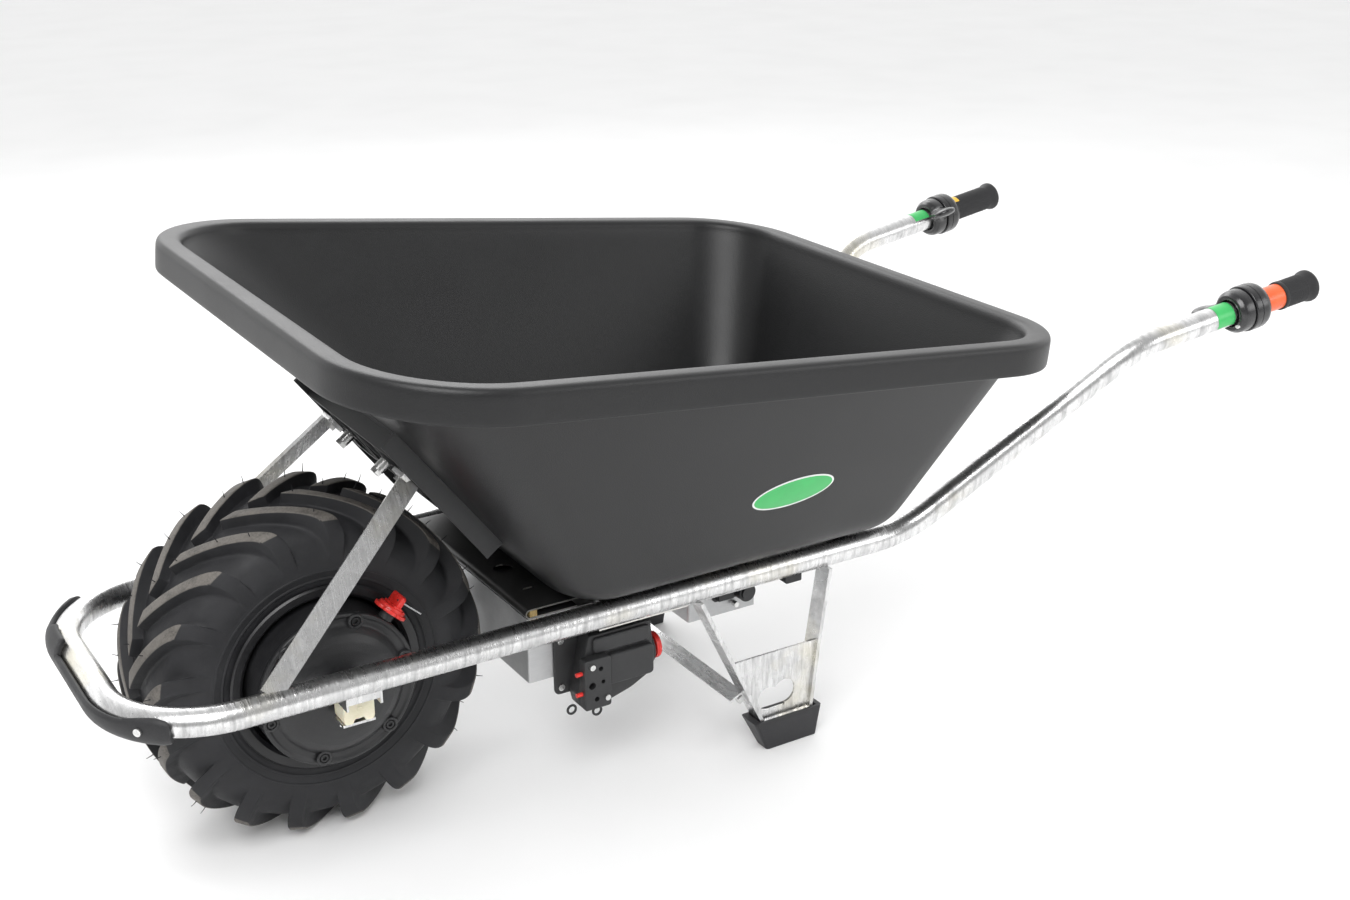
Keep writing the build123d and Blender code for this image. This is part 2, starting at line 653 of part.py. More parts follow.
def crossmember(x):
    """An angle across the rails, under the plate."""
    top = PLATE_TOP - PLATE_T - 0.1
    flat = block(x - 14, x + 14, -RAIL_Y, RAIL_Y, top - 4, top)
    web = block(x + 10, x + 14, -RAIL_Y, RAIL_Y, top - 9, top)
    body = flat + web - rail_bar() - mirrored(rail_bar())
    for y in (-FLOOR_BOLT_Y, FLOOR_BOLT_Y):
        body -= ring(FLOOR_HOLE_R, 0, 30.0, (x, y, top), (0, 0, 1))
    return max(body.solids(), key=lambda piece: piece.volume)


# ---------------------------------------------------------------- battery, controller, switch

def case(x0, x1, y0, y1, z0, z1, wall=2.0):
    """A closed sheet-metal box, hollow inside."""
    shell = fillet(block(x0, x1, y0, y1, z0, z1).edges().filter_by(Axis.Z), 3.0)
    return shell - block(x0 + wall, x1 - wall, y0 + wall, y1 - wall, z0 + wall, z1 - wall)


def battery_case():
    return case(*BATTERY_X, CASE_FACE_Y, -CASE_FACE_Y, *BATTERY_Z)


def battery_pack():
    """A block of cells with terminal posts."""
    x0, x1 = BATTERY_X
    z0, z1 = BATTERY_Z
    pack = block(x0 + 6, x1 - 6, CASE_FACE_Y + 8, -CASE_FACE_Y - 8, z0 + 2.5, z1 - 16)
    for y in (-60, 60):
        pack += ring(5.0, 0, 8.0, (x0 + 30, y, z1 - 13), (0, 0, 1))
    return pack


def controller_case():
    return case(*CONTROLLER_X, CASE_FACE_Y, CONTROLLER_FAR_Y, *CONTROLLER_Z)


def controller_board():
    """The motor controller's board with its heat sink and capacitors."""
    x0, x1 = CONTROLLER_X
    z = CONTROLLER_Z[0] + 12
    board = block(x0 + 6, x1 - 6, CASE_FACE_Y + 10, CONTROLLER_FAR_Y - 10, z, z + 2)
    board += block(x0 + 12, x1 - 12, -100, -20, z + 2, z + 14)
    for y in (0, 22, 44):
        board += ring(9.0, 0, 26.0, (x0 + 50, y, z + 15), (0, 0, 1))
    return board


def switch_base():
    """The flat black base of the switch unit, screwed to the battery case."""
    outline = block(256, 372, SWITCH_BASE_Y, CASE_FACE_Y - 0.1, 134, 216)
    base = fillet(outline.edges().filter_by(Axis.Y), 8.0)
    for z in BASE_SCREW_Z:
        base -= ring(2.0, 0, 40.0, (BASE_SCREW_X, CASE_FACE_Y, z))
    return base


SWITCH_FACE = ((274, 140), (290, 214), (376, 214), (380, 158), (372, 142), (348, 130), (312, 120), (278, 122))
SWITCH_T = 24.0


def switch_housing():
    """The black moulded body of the battery switch."""
    face = Polyline(*SWITCH_FACE, close=True)
    body = extrude(Plane.XZ.offset(-SWITCH_BASE_Y + 0.1) * make_face(face), SWITCH_T)
    step = block(313, 376, SWITCH_BASE_Y - SWITCH_T - 8, SWITCH_BASE_Y - SWITCH_T, 146, 186)
    boss = ring(21.0, 0, 17.5, (382.25, BUTTON_Y, BUTTON_Z), (1, 0, 0))
    return body + fillet(step.edges().filter_by(Axis.Y), 5.0) + boss - button_bore()


def button_bore():
    """The well that the stop button's stem slides in."""
    return ring(8.3, 0, 40.0, (380.0, BUTTON_Y, BUTTON_Z), (1, 0, 0))


def stop_button():
    """A red mushroom button on its stem."""
    head = Pos(BUTTON_X, BUTTON_Y, BUTTON_Z) * Rot(0, 90, 0) * (Cylinder(17.0, 8.0))
    head = fillet(head.edges().filter_by(GeomType.CIRCLE).sort_by(Axis.X)[-1], 3.5)
    stem = ring(8.0, 0, 13.0, (BUTTON_X - 9.0, BUTTON_Y, BUTTON_Z), (1, 0, 0))
    return head + stem


SOCKETS = ((298, 176, 3.0), (286, 156, 4.5), (301, 158, 2.6), (292, 137, 3.2))       # X, Z and radius
SOCKET_FACE_Y = SWITCH_BASE_Y - 38


def socket_block():
    """The contact block on the front of the switch, with its sockets."""
    body = block(276, 312, SOCKET_FACE_Y, SWITCH_BASE_Y - SWITCH_T - 0.3, 124, 190)
    body = fillet(body.edges().filter_by(Axis.Y), 4.0)
    for x, z, r in SOCKETS:
        body -= ring(r, 0, 8.0, (x, SOCKET_FACE_Y, z))
    for x, z in BLOCK_SCREWS:
        body -= ring(2.05, 0, 16.0, (x, SWITCH_BASE_Y - 36, z))
    return body


def switch_screws():
    """Screws in the switch base and the contact block, and the bolt under the charging socket."""
    screws = []
    for z in BASE_SCREW_Z:
        head = ring(4.2, 0, 2.6, (BASE_SCREW_X, SWITCH_BASE_Y - 1.4, z))
        screws.append(head + ring(1.9, 0, 4.0, (BASE_SCREW_X, SWITCH_BASE_Y + 1.9, z)))
    for x, z in BLOCK_SCREWS:
        head = ring(3.6, 0, 2.4, (x, SWITCH_BASE_Y - 39.3, z))
        screws.append(head + ring(1.95, 0, 8.0, (x, SWITCH_BASE_Y - 34.2, z)))
    screws.append(ring(3.6, 0, 8.0, (512, -149.2, 191)) + ring(2.0, 0, 3.2, (512, -143.8, 191)))
    return Compound(screws)


def contact_pins():
    """Two red insulated contacts beside the block."""
    pins = [ring(2.6, 0, 8.0, (271.9, SWITCH_BASE_Y - 31, z), (1, 0, 0)) for z in (172, 145)]
    return Compound(pins)


def wire_loops():
    """Two small loops under the switch that keep its cap."""
    loops = []
    for x, y, z in ((296, SWITCH_BASE_Y - 30, 116.9), (272.5, SWITCH_BASE_Y - 10, 115.4)):
        loop = Pos(x, y, z) * Rot(90, 0, 0) * Torus(5.5, 1.5)
        loops.append(loop)
    return Compound(loops)


def switch_bracket():
    """A black strip from the switch base up under the rail."""
    back = CASE_FACE_Y - 0.1
    return block(300, 424, -178, back, 222.5, 226) + block(300, 392, -145.5, back, 216.2, 226)


def charge_socket():
    """The charging socket with its round cap, on the controller case."""
    flange = block(482, 538, -145, CASE_FACE_Y - 0.1, 198, 220)
    flange = fillet(flange.edges().filter_by(Axis.Y), 4.0)
    cap = ring(12.0, 0, 14.0, (524, -152, 207)) + ring(9.0, 0, 4.0, (524, -160, 207))
    return flange + cap + block(486, 508, -152, -144, 201, 215)


def cable_clip():
    """A rubber clip under the left rail."""
    body = block(560, 584, -190, -170, RAIL_Z - TUBE_OD / 2 - 6, RAIL_Z - 6)
    return fillet(body.edges().filter_by(Axis.Y), 2.0) - rail_bar()


# ---------------------------------------------------------------- legs

def strip(points, thick):
    """A band of even thickness along a polyline, in its own plane."""
    band = Sketch()
    for (x0, z0), (x1, z1) in zip(points, points[1:]):
        length = hypot(x1 - x0, z1 - z0)
        turn = degrees(atan2(z1 - z0, x1 - x0))
        band += Pos((x0 + x1) / 2, (z0 + z1) / 2) * Rot(0, 0, turn) * Rectangle(length, thick)
    for x, z in points[1:-1]:
        band += Pos(x, z) * Circle(thick / 2)
    return band


GUSSET_FACE = ((484, 136), (606, 136), (606, 128), (599, 40), (524, 40), (478, 134))


def leg():
    """The left leg: a bent flat bar with a gusset plate between its sides."""
    bar = extrude(Plane.XZ.offset(LEG_INNER_Y) * strip(LEG_PATH, LEG_T), LEG_OUTER_Y - LEG_INNER_Y)
    gusset = Polyline(*GUSSET_FACE, close=True)
    hole = Pos(533, 72) * Circle(16) + Pos(557, 76) * Circle(16.5) + Pos(545, 70) * Rectangle(26, 28)
    sheet = extrude(Plane.XZ.offset(GUSSET_Y) * (make_face(gusset) - hole), GUSSET_T)
    bolt_hole = tie_plane() * Pos(0, -TIE_BOLT_Y, 0) * Cylinder(BOLT_HOLE_R, 20)
    return bar + sheet - rail_bar() - bolt_hole


def tie_plane():
    """The middle of the front strut's outside: X down the strut, Y across, Z to the front."""
    (x0, z0), (x1, z1) = LEG_PATH[0], LEG_PATH[1]
    down = Vector(x1 - x0, 0, z1 - z0).normalized()
    share = (z0 - TIE_Z) / (z0 - z1)
    origin = (x0 + (x1 - x0) * share, 0, TIE_Z)
    return Plane(origin=origin, x_dir=down, z_dir=down.cross(Vector(0, 1, 0)))


def cross_tie():
    """An angle between the two legs."""
    half = TIE_BOLT_Y + 7
    back = -LEG_T / 2 - 0.1
    web = block(-11, 11, -half, half, back - 3, back)
    flange = block(-11, -8, -half, half, back - 20, back)
    body = web + flange
    for side in (-1, 1):
        body -= Pos(0, side * TIE_BOLT_Y, 0) * Cylinder(BOLT_HOLE_R, 20)
    return tie_plane() * body


def tie_bolts():
    """A bolt through each leg and the tie, with its nut."""
    bolts = []
    for side in (-1, 1):
        spot = Pos(0, side * TIE_BOLT_Y, 0)
        head = spot * Pos(0, 0, LEG_T / 2 + 0.1) * hexagon(HEX_HEAD_T)
        nut = spot * Pos(0, 0, -LEG_T / 2 - 9.8) * hexagon(HEX_NUT_T)
        shank = spot * Pos(0, 0, -3) * Cylinder(BOLT_R, 16)
        bolts.append(tie_plane() * (head + nut + shank))
    return Compound(bolts)


FOOT_Y = -187.5


def foot():
    """A tapered rubber foot pushed onto the bottom of the leg."""
    top = Plane.XY.offset(FOOT_TOP_Z) * Pos(560, FOOT_Y) * RectangleRounded(104, 33, 4)
    base = Plane.XY * Pos(569, FOOT_Y) * RectangleRounded(78, 24, 4)
    body = loft([base, top], ruled=True)
    pocket = Plane.XY.offset(FOOT_TOP_Z) * Pos(562, FOOT_Y) * RectangleRounded(88, 26.2, 2)
    return body - extrude(pocket, FOOT_POCKET_Z - FOOT_TOP_Z) - leg() - mirrored(leg())


# ---------------------------------------------------------------- handle controls

def handle_plane():
    """The left handle's own axes: X up, Y outward, Z along the handle to its end."""
    along = (Vector(*HANDLE_END) - Vector(*BEND)).normalized()
    axis = Vector(along.X, -along.Y, along.Z)
    up = (Vector(0, 0, 1) - axis * axis.Z).normalized()
    return Plane(origin=(BEND[0], -BEND[1], BEND[2]), x_dir=up, z_dir=axis)


def sleeve(start, length, inner_r, outer_r):
    """A sleeve on the left handle."""
    body = extrude(Circle(outer_r), length)
    if inner_r > 0:
        body -= extrude(Circle(inner_r), length)
    return handle_plane().offset(start) * body


def lever_housing():
    """The round control housing clamped on the handle."""
    start = COLLAR_START + LEVER_LENGTH + GAP
    body = sleeve(start, COLLAR_LENGTH, 0, COLLAR_R)
    ends = body.edges().filter_by(GeomType.CIRCLE).sort_by(Axis.X)
    body = fillet([ends[0], ends[-1]], 6.0)
    return body - sleeve(start - 1, COLLAR_LENGTH + 2, 0, TUBE_OD / 2 + 0.02)


PADDLE_FACE = ((-18, -14), (-18, 22), (-34, 22), (-58, 16), (-LEVER_REACH, 2), (-60, -12), (-46, -18))


def thumb_lever(angle):
    """A paddle on a ring that turns on the handle. angle lifts it from straight inward."""
    hub = sleeve(COLLAR_START, LEVER_LENGTH, 0, COLLAR_R - 1)
    hub = fillet(hub.edges().filter_by(GeomType.CIRCLE).sort_by(Axis.X)[0], 6.0)
    outline = Polyline(*PADDLE_FACE, close=True)
    blade = extrude(Plane.YZ * make_face(outline), 5.0, both=True)
    paddle = handle_plane().offset(COLLAR_START) * Rot(0, 0, -angle) * blade
    return hub + paddle - sleeve(COLLAR_START - 40, 90, 0, TUBE_OD / 2 + 0.08)


GRIP_RIB_PITCH = 8


def grip(start):
    """A ribbed rubber grip with an end flange, closed over the tube's end."""
    end = handle_length() + 3.0
    body = sleeve(start, end - start, 0, GRIP_R) + sleeve(end - 12, 12, 0, GRIP_FLANGE_R)
    for i in range(int((end - 20 - start) / GRIP_RIB_PITCH)):
        body += sleeve(start + 5 + i * GRIP_RIB_PITCH, 3, 0, GRIP_R + 0.8)
    return body - sleeve(start - 1, handle_length() - start + 1.05, 0, TUBE_OD / 2 + 0.02)


def handle_length():
    return (Vector(*HANDLE_END) - Vector(*BEND)).length


# ---------------------------------------------------------------- all the pieces

def wheel_pieces():
    return {
        "tyre": tyre(),
        "rim": rim(),
        "tyre_valve": tyre_valve(),
        "motor_drum": motor_drum(),
        "rotor_magnets": rotor_magnets(),
        "hub_cover_left": hub_cover(-1),
        "hub_cover_right": hub_cover(1),
        "cover_screws": cover_screws(),
        "bearings": Compound([bearing(-1), bearing(1)]),
        "knob_stem": knob_stem(),
        "freewheel_knob": freewheel_knob(),
        "knob_rod": knob_rod(),
        "axle": axle(),
        "stator": stator(),
        "windings": windings(),
    }


def frame_pieces():
    return {
        "main_tube": main_tube(),
        "bumper_guard": bumper(),
        "bumper_rivets": bumper_rivets(),
        "axle_bracket_left": axle_bracket(),
        "axle_bracket_right": mirrored(axle_bracket()),
        "axle_block_left": axle_block(),
        "axle_block_right": mirrored(axle_block()),
        "axle_straps": Compound([axle_plate(), mirrored(axle_plate())]),
        "axle_bolts": axle_bolts(),
        "front_strut_left": front_strut(),
        "front_strut_right": mirrored(front_strut()),
        "support_panel": support_panel(),
        "panel_bolts": panel_bolts(),
        "leg_left": leg(),
        "leg_right": mirrored(leg()),
        "foot_left": foot(),
        "foot_right": mirrored(foot()),
        "cross_tie": cross_tie(),
        "tie_bolts": tie_bolts(),
        "cable_clip": cable_clip(),
    }


def tray_pieces():
    return {
        "tray": tray(),
        "floor_bolts": floor_bolts(),
        "floor_plate": floor_plate(),
        "edge_strip": edge_strip(),
        "crossmembers": Compound([crossmember(x) for x in CROSSMEMBER_X]),
    }


def electric_pieces():
    return {
        "battery_case": battery_case(),
        "battery_pack": battery_pack(),
        "controller_case": controller_case(),
        "controller_board": controller_board(),
        "switch_base": switch_base(),
        "switch_housing": switch_housing(),
        "socket_block": socket_block(),
        "switch_screws": switch_screws(),
        "stop_button": stop_button(),
        "charge_socket": charge_socket(),
        "contact_pins": contact_pins(),
        "wire_loops": wire_loops(),
        "switch_bracket": switch_bracket(),
    }


def handle_pieces():
    band_start = COLLAR_START + LEVER_LENGTH + GAP + COLLAR_LENGTH + 0.2
    left_grip_start = band_start + BAND_LENGTH + 0.2
    return {
        "lever_housing_left": lever_housing(),
        "lever_housing_right": mirrored(lever_housing()),
        "thumb_lever_left": thumb_lever(12),
        "thumb_lever_right": mirrored(thumb_lever(-24)),
        "grip_left": grip(left_grip_start),
        "grip_right": mirrored(grip(band_start)),
        "grip_band": sleeve(band_start, BAND_LENGTH, TUBE_OD / 2 + 0.02, TUBE_OD / 2 + 1.0),
    }


def main():
    os.makedirs("parts", exist_ok=True)
    for group in (wheel_pieces(), frame_pieces(), tray_pieces(), electric_pieces(), handle_pieces()):
        for name, shape in group.items():
            save(name, shape)


main()
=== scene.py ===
import bpy
import bmesh
import json
import random
from math import cos, pi, radians, sin, sqrt
from mathutils import Matrix, Vector


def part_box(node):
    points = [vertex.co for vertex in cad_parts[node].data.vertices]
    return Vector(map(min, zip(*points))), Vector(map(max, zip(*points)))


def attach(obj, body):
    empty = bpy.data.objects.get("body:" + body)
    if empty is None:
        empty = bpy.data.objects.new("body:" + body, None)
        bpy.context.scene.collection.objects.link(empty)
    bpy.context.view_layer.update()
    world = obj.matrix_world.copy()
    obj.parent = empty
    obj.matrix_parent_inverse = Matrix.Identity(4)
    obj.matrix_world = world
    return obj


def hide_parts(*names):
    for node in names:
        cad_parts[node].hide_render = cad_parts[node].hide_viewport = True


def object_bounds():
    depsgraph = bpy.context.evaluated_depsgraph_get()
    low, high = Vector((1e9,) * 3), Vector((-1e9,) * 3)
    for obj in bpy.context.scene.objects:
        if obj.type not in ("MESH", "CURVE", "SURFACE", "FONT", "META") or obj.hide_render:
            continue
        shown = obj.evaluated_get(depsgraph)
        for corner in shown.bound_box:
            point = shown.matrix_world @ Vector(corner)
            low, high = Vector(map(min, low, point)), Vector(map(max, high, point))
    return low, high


# A powered wheelbarrow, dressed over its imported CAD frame. Metres, X back to the handles, Z up.

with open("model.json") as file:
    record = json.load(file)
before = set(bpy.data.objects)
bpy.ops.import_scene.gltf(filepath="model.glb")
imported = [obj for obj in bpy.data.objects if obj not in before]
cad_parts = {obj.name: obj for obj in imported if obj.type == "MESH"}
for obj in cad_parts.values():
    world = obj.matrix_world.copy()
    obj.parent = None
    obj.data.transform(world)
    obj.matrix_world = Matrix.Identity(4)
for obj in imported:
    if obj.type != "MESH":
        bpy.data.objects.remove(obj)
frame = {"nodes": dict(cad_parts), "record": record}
NODES = frame["nodes"]
RECORD = frame["record"]
CAD_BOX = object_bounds()
random.seed(7)

TYRE_LOW, TYRE_HIGH = (Vector(corner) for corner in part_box("tyre"))
MM = 0.001
AXLE = Vector(((TYRE_LOW.x + TYRE_HIGH.x) / 2, 0, (TYRE_LOW.z + TYRE_HIGH.z) / 2))
TYRE_R = (TYRE_HIGH.z - TYRE_LOW.z) / 2


def place(x, y, z):
    """A point given from the axle's X, in the shared frame."""
    return Vector((AXLE.x + x, y, z))


# ---- materials

class Finish:
    """A node material: constants on the shader's own sockets, colour and roughness from node chains."""

    def __init__(self, name, **constants):
        self.material = bpy.data.materials.new(name)
        self.material.use_nodes = True
        self.tree = self.material.node_tree
        self.shader = self.tree.nodes["Principled BSDF"]
        for key, value in constants.items():
            self.shader.inputs[key.replace("_", " ")].default_value = value
        self.coords = self.tree.nodes.new("ShaderNodeTexCoord")

    def feed(self, socket, value):
        """Links a socket to an output, or sets it to a number, a vector or a colour."""
        if isinstance(value, bpy.types.NodeSocket):
            self.tree.links.new(value, socket)
        elif socket.type == "RGBA" and isinstance(value, tuple):
            socket.default_value = (*value, 1.0)
        else:
            socket.default_value = value

    def node(self, kind, **inputs):
        """A node with its inputs fed by name, an underscore standing for a space."""
        node = self.tree.nodes.new("ShaderNode" + kind)
        for key, value in inputs.items():
            self.feed(node.inputs[key.replace("_", " ")], value)
        return node

    def stretched(self, scale):
        return self.node("Mapping", Vector=self.coords.outputs["Object"], Scale=scale).outputs["Vector"]

    def noise(self, scale, detail=4.0, roughness=0.55, stretch=(1, 1, 1)):
        spot = self.stretched(stretch)
        return self.node("TexNoise", Scale=scale, Detail=detail, Roughness=roughness, Vector=spot).outputs["Fac"]

    def cells(self, scale, output="Distance"):
        return self.node("TexVoronoi", Scale=scale, Vector=self.stretched((1, 1, 1))).outputs[output]

    def ramp(self, value, *stops):
        """Colours between stops of (position, colour)."""
        node = self.node("ValToRGB", Fac=value)
        ramp = node.color_ramp
        while len(ramp.elements) < len(stops):
            ramp.elements.new(0.5)
        for element, (position, colour) in zip(ramp.elements, stops):
            element.position = position
            element.color = (*colour, 1.0) if hasattr(colour, "__len__") else (colour, colour, colour, 1.0)
        return node.outputs["Color"]

    def span(self, value, low, high, to_low=0.0, to_high=1.0):
        """Maps low..high onto to_low..to_high, clamped."""
        node = self.node("MapRange", Value=value, From_Min=low, From_Max=high, To_Min=to_low, To_Max=to_high)
        return node.outputs["Result"]

    def maths(self, operation, a, b=0.0):
        node = self.node("Math")
        node.operation = operation
        self.feed(node.inputs[0], a)
        self.feed(node.inputs[1], b)
        return node.outputs[0]

    def mix(self, factor, a, b):
        node = self.node("Mix")
        node.data_type = "RGBA"
        for index, value in ((0, factor), (6, a), (7, b)):
            self.feed(node.inputs[index], value)
        return node.outputs[2]

    def normal_y(self):
        """How far the surface faces along Y."""
        return self.node("SeparateXYZ", Vector=self.coords.outputs["Normal"]).outputs["Y"]

    def attribute(self, name):
        node = self.node("Attribute")
        node.attribute_name = name
        return node.outputs["Fac"]

    def colour(self, value):
        self.feed(self.shader.inputs["Base Color"], value)

    def rough(self, value):
        self.feed(self.shader.inputs["Roughness"], value)

    def shade(self, value, dark, light):
        """Colour from dark to light over a noise's middle range."""
        self.colour(self.ramp(value, (0.3, dark), (0.7, light)))

    def gloss(self, value, low, high):
        """Roughness from low to high over a noise's middle range."""
        self.rough(self.span(value, 0.3, 0.7, low, high))

    def bump(self, *layers):
        """Layers of (height, distance in metres, strength), each over the last."""
        normal = None
        for height, distance, strength in layers:
            node = self.node("Bump", Distance=distance, Strength=strength, Height=height)
            if normal:
                self.feed(node.inputs["Normal"], normal)
            normal = node.outputs["Normal"]
        self.feed(self.shader.inputs["Normal"], normal)
        return self.material


def grained_plastic(name, dark, light, rough=(0.42, 0.55), grain=900, depth=0.00025, specular=0.5, coat=0.0):
    """Moulded plastic: a fine grain, faint flow marks and slightly uneven gloss."""
    f = Finish(name, Specular_IOR_Level=specular, Coat_Weight=coat, Coat_Roughness=0.25)
    clouds = f.noise(9, 5, 0.6)
    fine = f.noise(grain, 2, 0.5)
    pores = f.cells(grain * 0.9)
    dust = f.noise(140, 6, 0.7)
    blend = f.mix(0.35, clouds, dust)
    f.colour(f.ramp(blend, (0.25, dark), (0.75, light)))
    f.gloss(f.mix(0.4, clouds, fine), *rough)
    return f.bump((fine, depth, 0.5), (pores, depth, 0.35))


def galvanised(name):
    """Hot-dip zinc: grey spangle, drips across the bars, dull and bright patches, some yellow passivation."""
    f = Finish(name, Metallic=1.0)
    spangle = f.ramp(f.cells(85, output="Color"), (0.2, 0.55), (0.8, 0.8))
    drips = f.noise(70, 5, 0.6, (2.6, 0.3, 0.3))
    patch = f.noise(34, 5, 0.7, (1.5, 0.5, 0.5))
    cloud = f.noise(7, 4, 0.6)
    speck = f.noise(520, 3, 0.6)
    streaks = f.ramp(drips, (0.34, 0.24), (0.47, 0.6), (0.62, 0.86))
    tone = f.mix(0.45, streaks, f.ramp(patch, (0.3, 0.36), (0.62, 0.86)))
    tone = f.mix(0.3, tone, spangle)
    tone = f.mix(f.span(speck, 0.64, 0.73), tone, (0.3, 0.305, 0.31))
    yellow = f.span(cloud, 0.55, 0.72, 0.0, 0.45)
    f.colour(f.mix(yellow, tone, (0.72, 0.66, 0.46)))
    f.rough(f.mix(0.5, f.span(drips, 0.3, 0.7, 0.4, 0.16), f.span(patch, 0.3, 0.7, 0.38, 0.2)))
    return f.bump((drips, 0.0009, 0.4), (f.noise(180, 4, 0.6), 0.0006, 0.3), (speck, 0.0002, 0.4))


def bright_metal(name, colour=(0.8, 0.8, 0.79), rough=(0.18, 0.36)):
    """Zinc plate or machined steel with handling marks."""
    f = Finish(name, Metallic=1.0)
    wear = f.noise(240, 5, 0.65)
    cloud = f.noise(40, 4, 0.6)
    dark = tuple(0.62 * part for part in colour)
    f.colour(f.mix(f.span(f.mix(0.5, wear, cloud), 0.35, 0.65), dark, colour))
    f.gloss(cloud, *rough)
    return f.bump((wear, 0.0003, 0.35))


def tyre_rubber(name):
    """Matt rubber: dusty brown-grey on top of the bars, blooms on the sidewall."""
    f = Finish(name, Specular_IOR_Level=0.35)
    top = f.attribute("bar_top")
    dust = f.noise(55, 7, 0.7)
    fine = f.noise(420, 4, 0.7)
    bloom = f.noise(13, 5, 0.65)
    base = f.ramp(f.mix(0.4, bloom, dust), (0.3, (0.0105, 0.0108, 0.012)), (0.72, (0.03, 0.03, 0.033)))
    worn = f.ramp(f.mix(0.5, dust, fine), (0.3, (0.075, 0.068, 0.06)), (0.7, (0.19, 0.176, 0.16)))
    cover = f.maths("MULTIPLY", f.span(top, 0.55, 0.95), f.span(f.mix(0.3, dust, fine), 0.28, 0.5, 0.5, 1.0))
    f.colour(f.mix(cover, base, worn))
    f.gloss(dust, 0.5, 0.72)
    rings = f.noise(90, 3, 0.5)
    return f.bump((fine, 0.0004, 0.5), (rings, 0.0006, 0.25))


SOFT_BLACK = (0.012, 0.012, 0.013), (0.028, 0.028, 0.03)


def soft_rubber(name, dark=SOFT_BLACK[0], light=SOFT_BLACK[1], rough=(0.45, 0.62)):
    """Satin rubber with scuffs and pale dust in its pores."""
    f = Finish(name, Specular_IOR_Level=0.4)
    cloud = f.noise(26, 5, 0.65)
    fine = f.noise(600, 3, 0.6)
    scuff = f.noise(70, 6, 0.75, (1, 1, 3))
    base = f.ramp(f.mix(0.5, cloud, fine), (0.3, dark), (0.7, light))
    f.colour(f.mix(f.span(scuff, 0.62, 0.8, 0.0, 0.35), base, (0.09, 0.088, 0.085)))
    f.gloss(cloud, *rough)
    return f.bump((fine, 0.0003, 0.5), (scuff, 0.0003, 0.2))


def painted(name, base, chip=(0.3, 0.3, 0.31), rough=(0.3, 0.48)):
    """Powder coat with an orange-peel surface and fine scratches."""
    f = Finish(name, Specular_IOR_Level=0.5)
    peel = f.noise(330, 2, 0.5)
    cloud = f.noise(20, 5, 0.6)
    scratch = f.noise(48, 7, 0.8, (0.4, 3, 1))
    light = tuple(1.7 * part + 0.004 for part in base)
    f.colour(f.mix(f.span(scratch, 0.69, 0.76, 0.0, 0.5), f.ramp(cloud, (0.3, base), (0.7, light)), chip))
    f.gloss(cloud, *rough)
    return f.bump((peel, 0.0003, 0.4))


def coloured_plastic(name, colour, rough=(0.24, 0.36)):
    """Smooth bright moulding, a little paler where it is rubbed."""
    f = Finish(name, Specular_IOR_Level=0.5)
    cloud = f.noise(45, 5, 0.6)
    fine = f.noise(700, 2, 0.5)
    dark = tuple(0.8 * part for part in colour)
    pale = tuple(min(1.0, part * 1.08 + 0.015) for part in colour)
    f.shade(cloud, dark, pale)
    f.gloss(cloud, *rough)
    return f.bump((fine, 0.0002, 0.3))


def nylon(name):
    f = Finish(name, Specular_IOR_Level=0.45, Subsurface_Weight=0.12, Subsurface_Scale=0.004)
    cloud = f.noise(38, 4, 0.6)
    mill = f.noise(260, 4, 0.6, (0.3, 1, 4))
    f.shade(f.mix(0.35, cloud, mill), (0.66, 0.6, 0.42), (0.86, 0.82, 0.66))
    f.gloss(cloud, 0.34, 0.5)
    return f.bump((mill, 0.0003, 0.4))


def aluminium_sheet(name):
    """Matt rolled sheet: fine brush lines and soft smudges."""
    f = Finish(name, Metallic=0.75)
    brush = f.noise(260, 3, 0.6, (0.12, 1, 3))
    smudge = f.noise(15, 5, 0.65)
    f.shade(f.mix(0.3, smudge, brush), (0.44, 0.445, 0.45), (0.62, 0.625, 0.63))
    f.rough(f.mix(0.5, f.span(smudge, 0.3, 0.7, 0.42, 0.58), f.span(brush, 0.3, 0.7, 0.4, 0.6)))
    return f.bump((brush, 0.0002, 0.3))


def plate_steel(name):
    """Black painted sheet whose cut edges were left bright."""
    f = Finish(name)
    cloud = f.noise(14, 5, 0.65)
    peel = f.noise(330, 2, 0.5)
    edge = f.span(f.maths("ABSOLUTE", f.normal_y()), 0.9, 0.97)
    worn = f.span(f.noise(90, 6, 0.75), 0.72, 0.8, 0.0, 0.6)
    bare = f.maths("MAXIMUM", edge, worn)
    f.colour(f.mix(bare, f.ramp(cloud, (0.3, 0.012), (0.7, 0.03)), (0.7, 0.69, 0.66)))
    f.feed(f.shader.inputs["Metallic"], f.maths("MULTIPLY", bare, 0.9))
    f.gloss(cloud, 0.3, 0.46)
    return f.bump((peel, 0.0003, 0.35))


def packing(name):
    f = Finish(name, Specular_IOR_Level=0.3)
    grain = f.noise(180, 6, 0.7, (1, 0.12, 1))
    f.shade(grain, (0.5, 0.34, 0.12), (0.82, 0.66, 0.36))
    f.gloss(grain, 0.5, 0.75)
    return f.bump((grain, 0.0005, 0.5))


def plain_print(name, colour):
    """A printed label: one ink, a little uneven."""
    f = Finish(name, Specular_IOR_Level=0.5)
    cloud = f.noise(60, 4, 0.6)
    f.shade(cloud, tuple(0.88 * part for part in colour), colour)
    f.gloss(cloud, 0.28, 0.4)
    return f.bump((f.noise(900, 2, 0.5), 0.0001, 0.3))


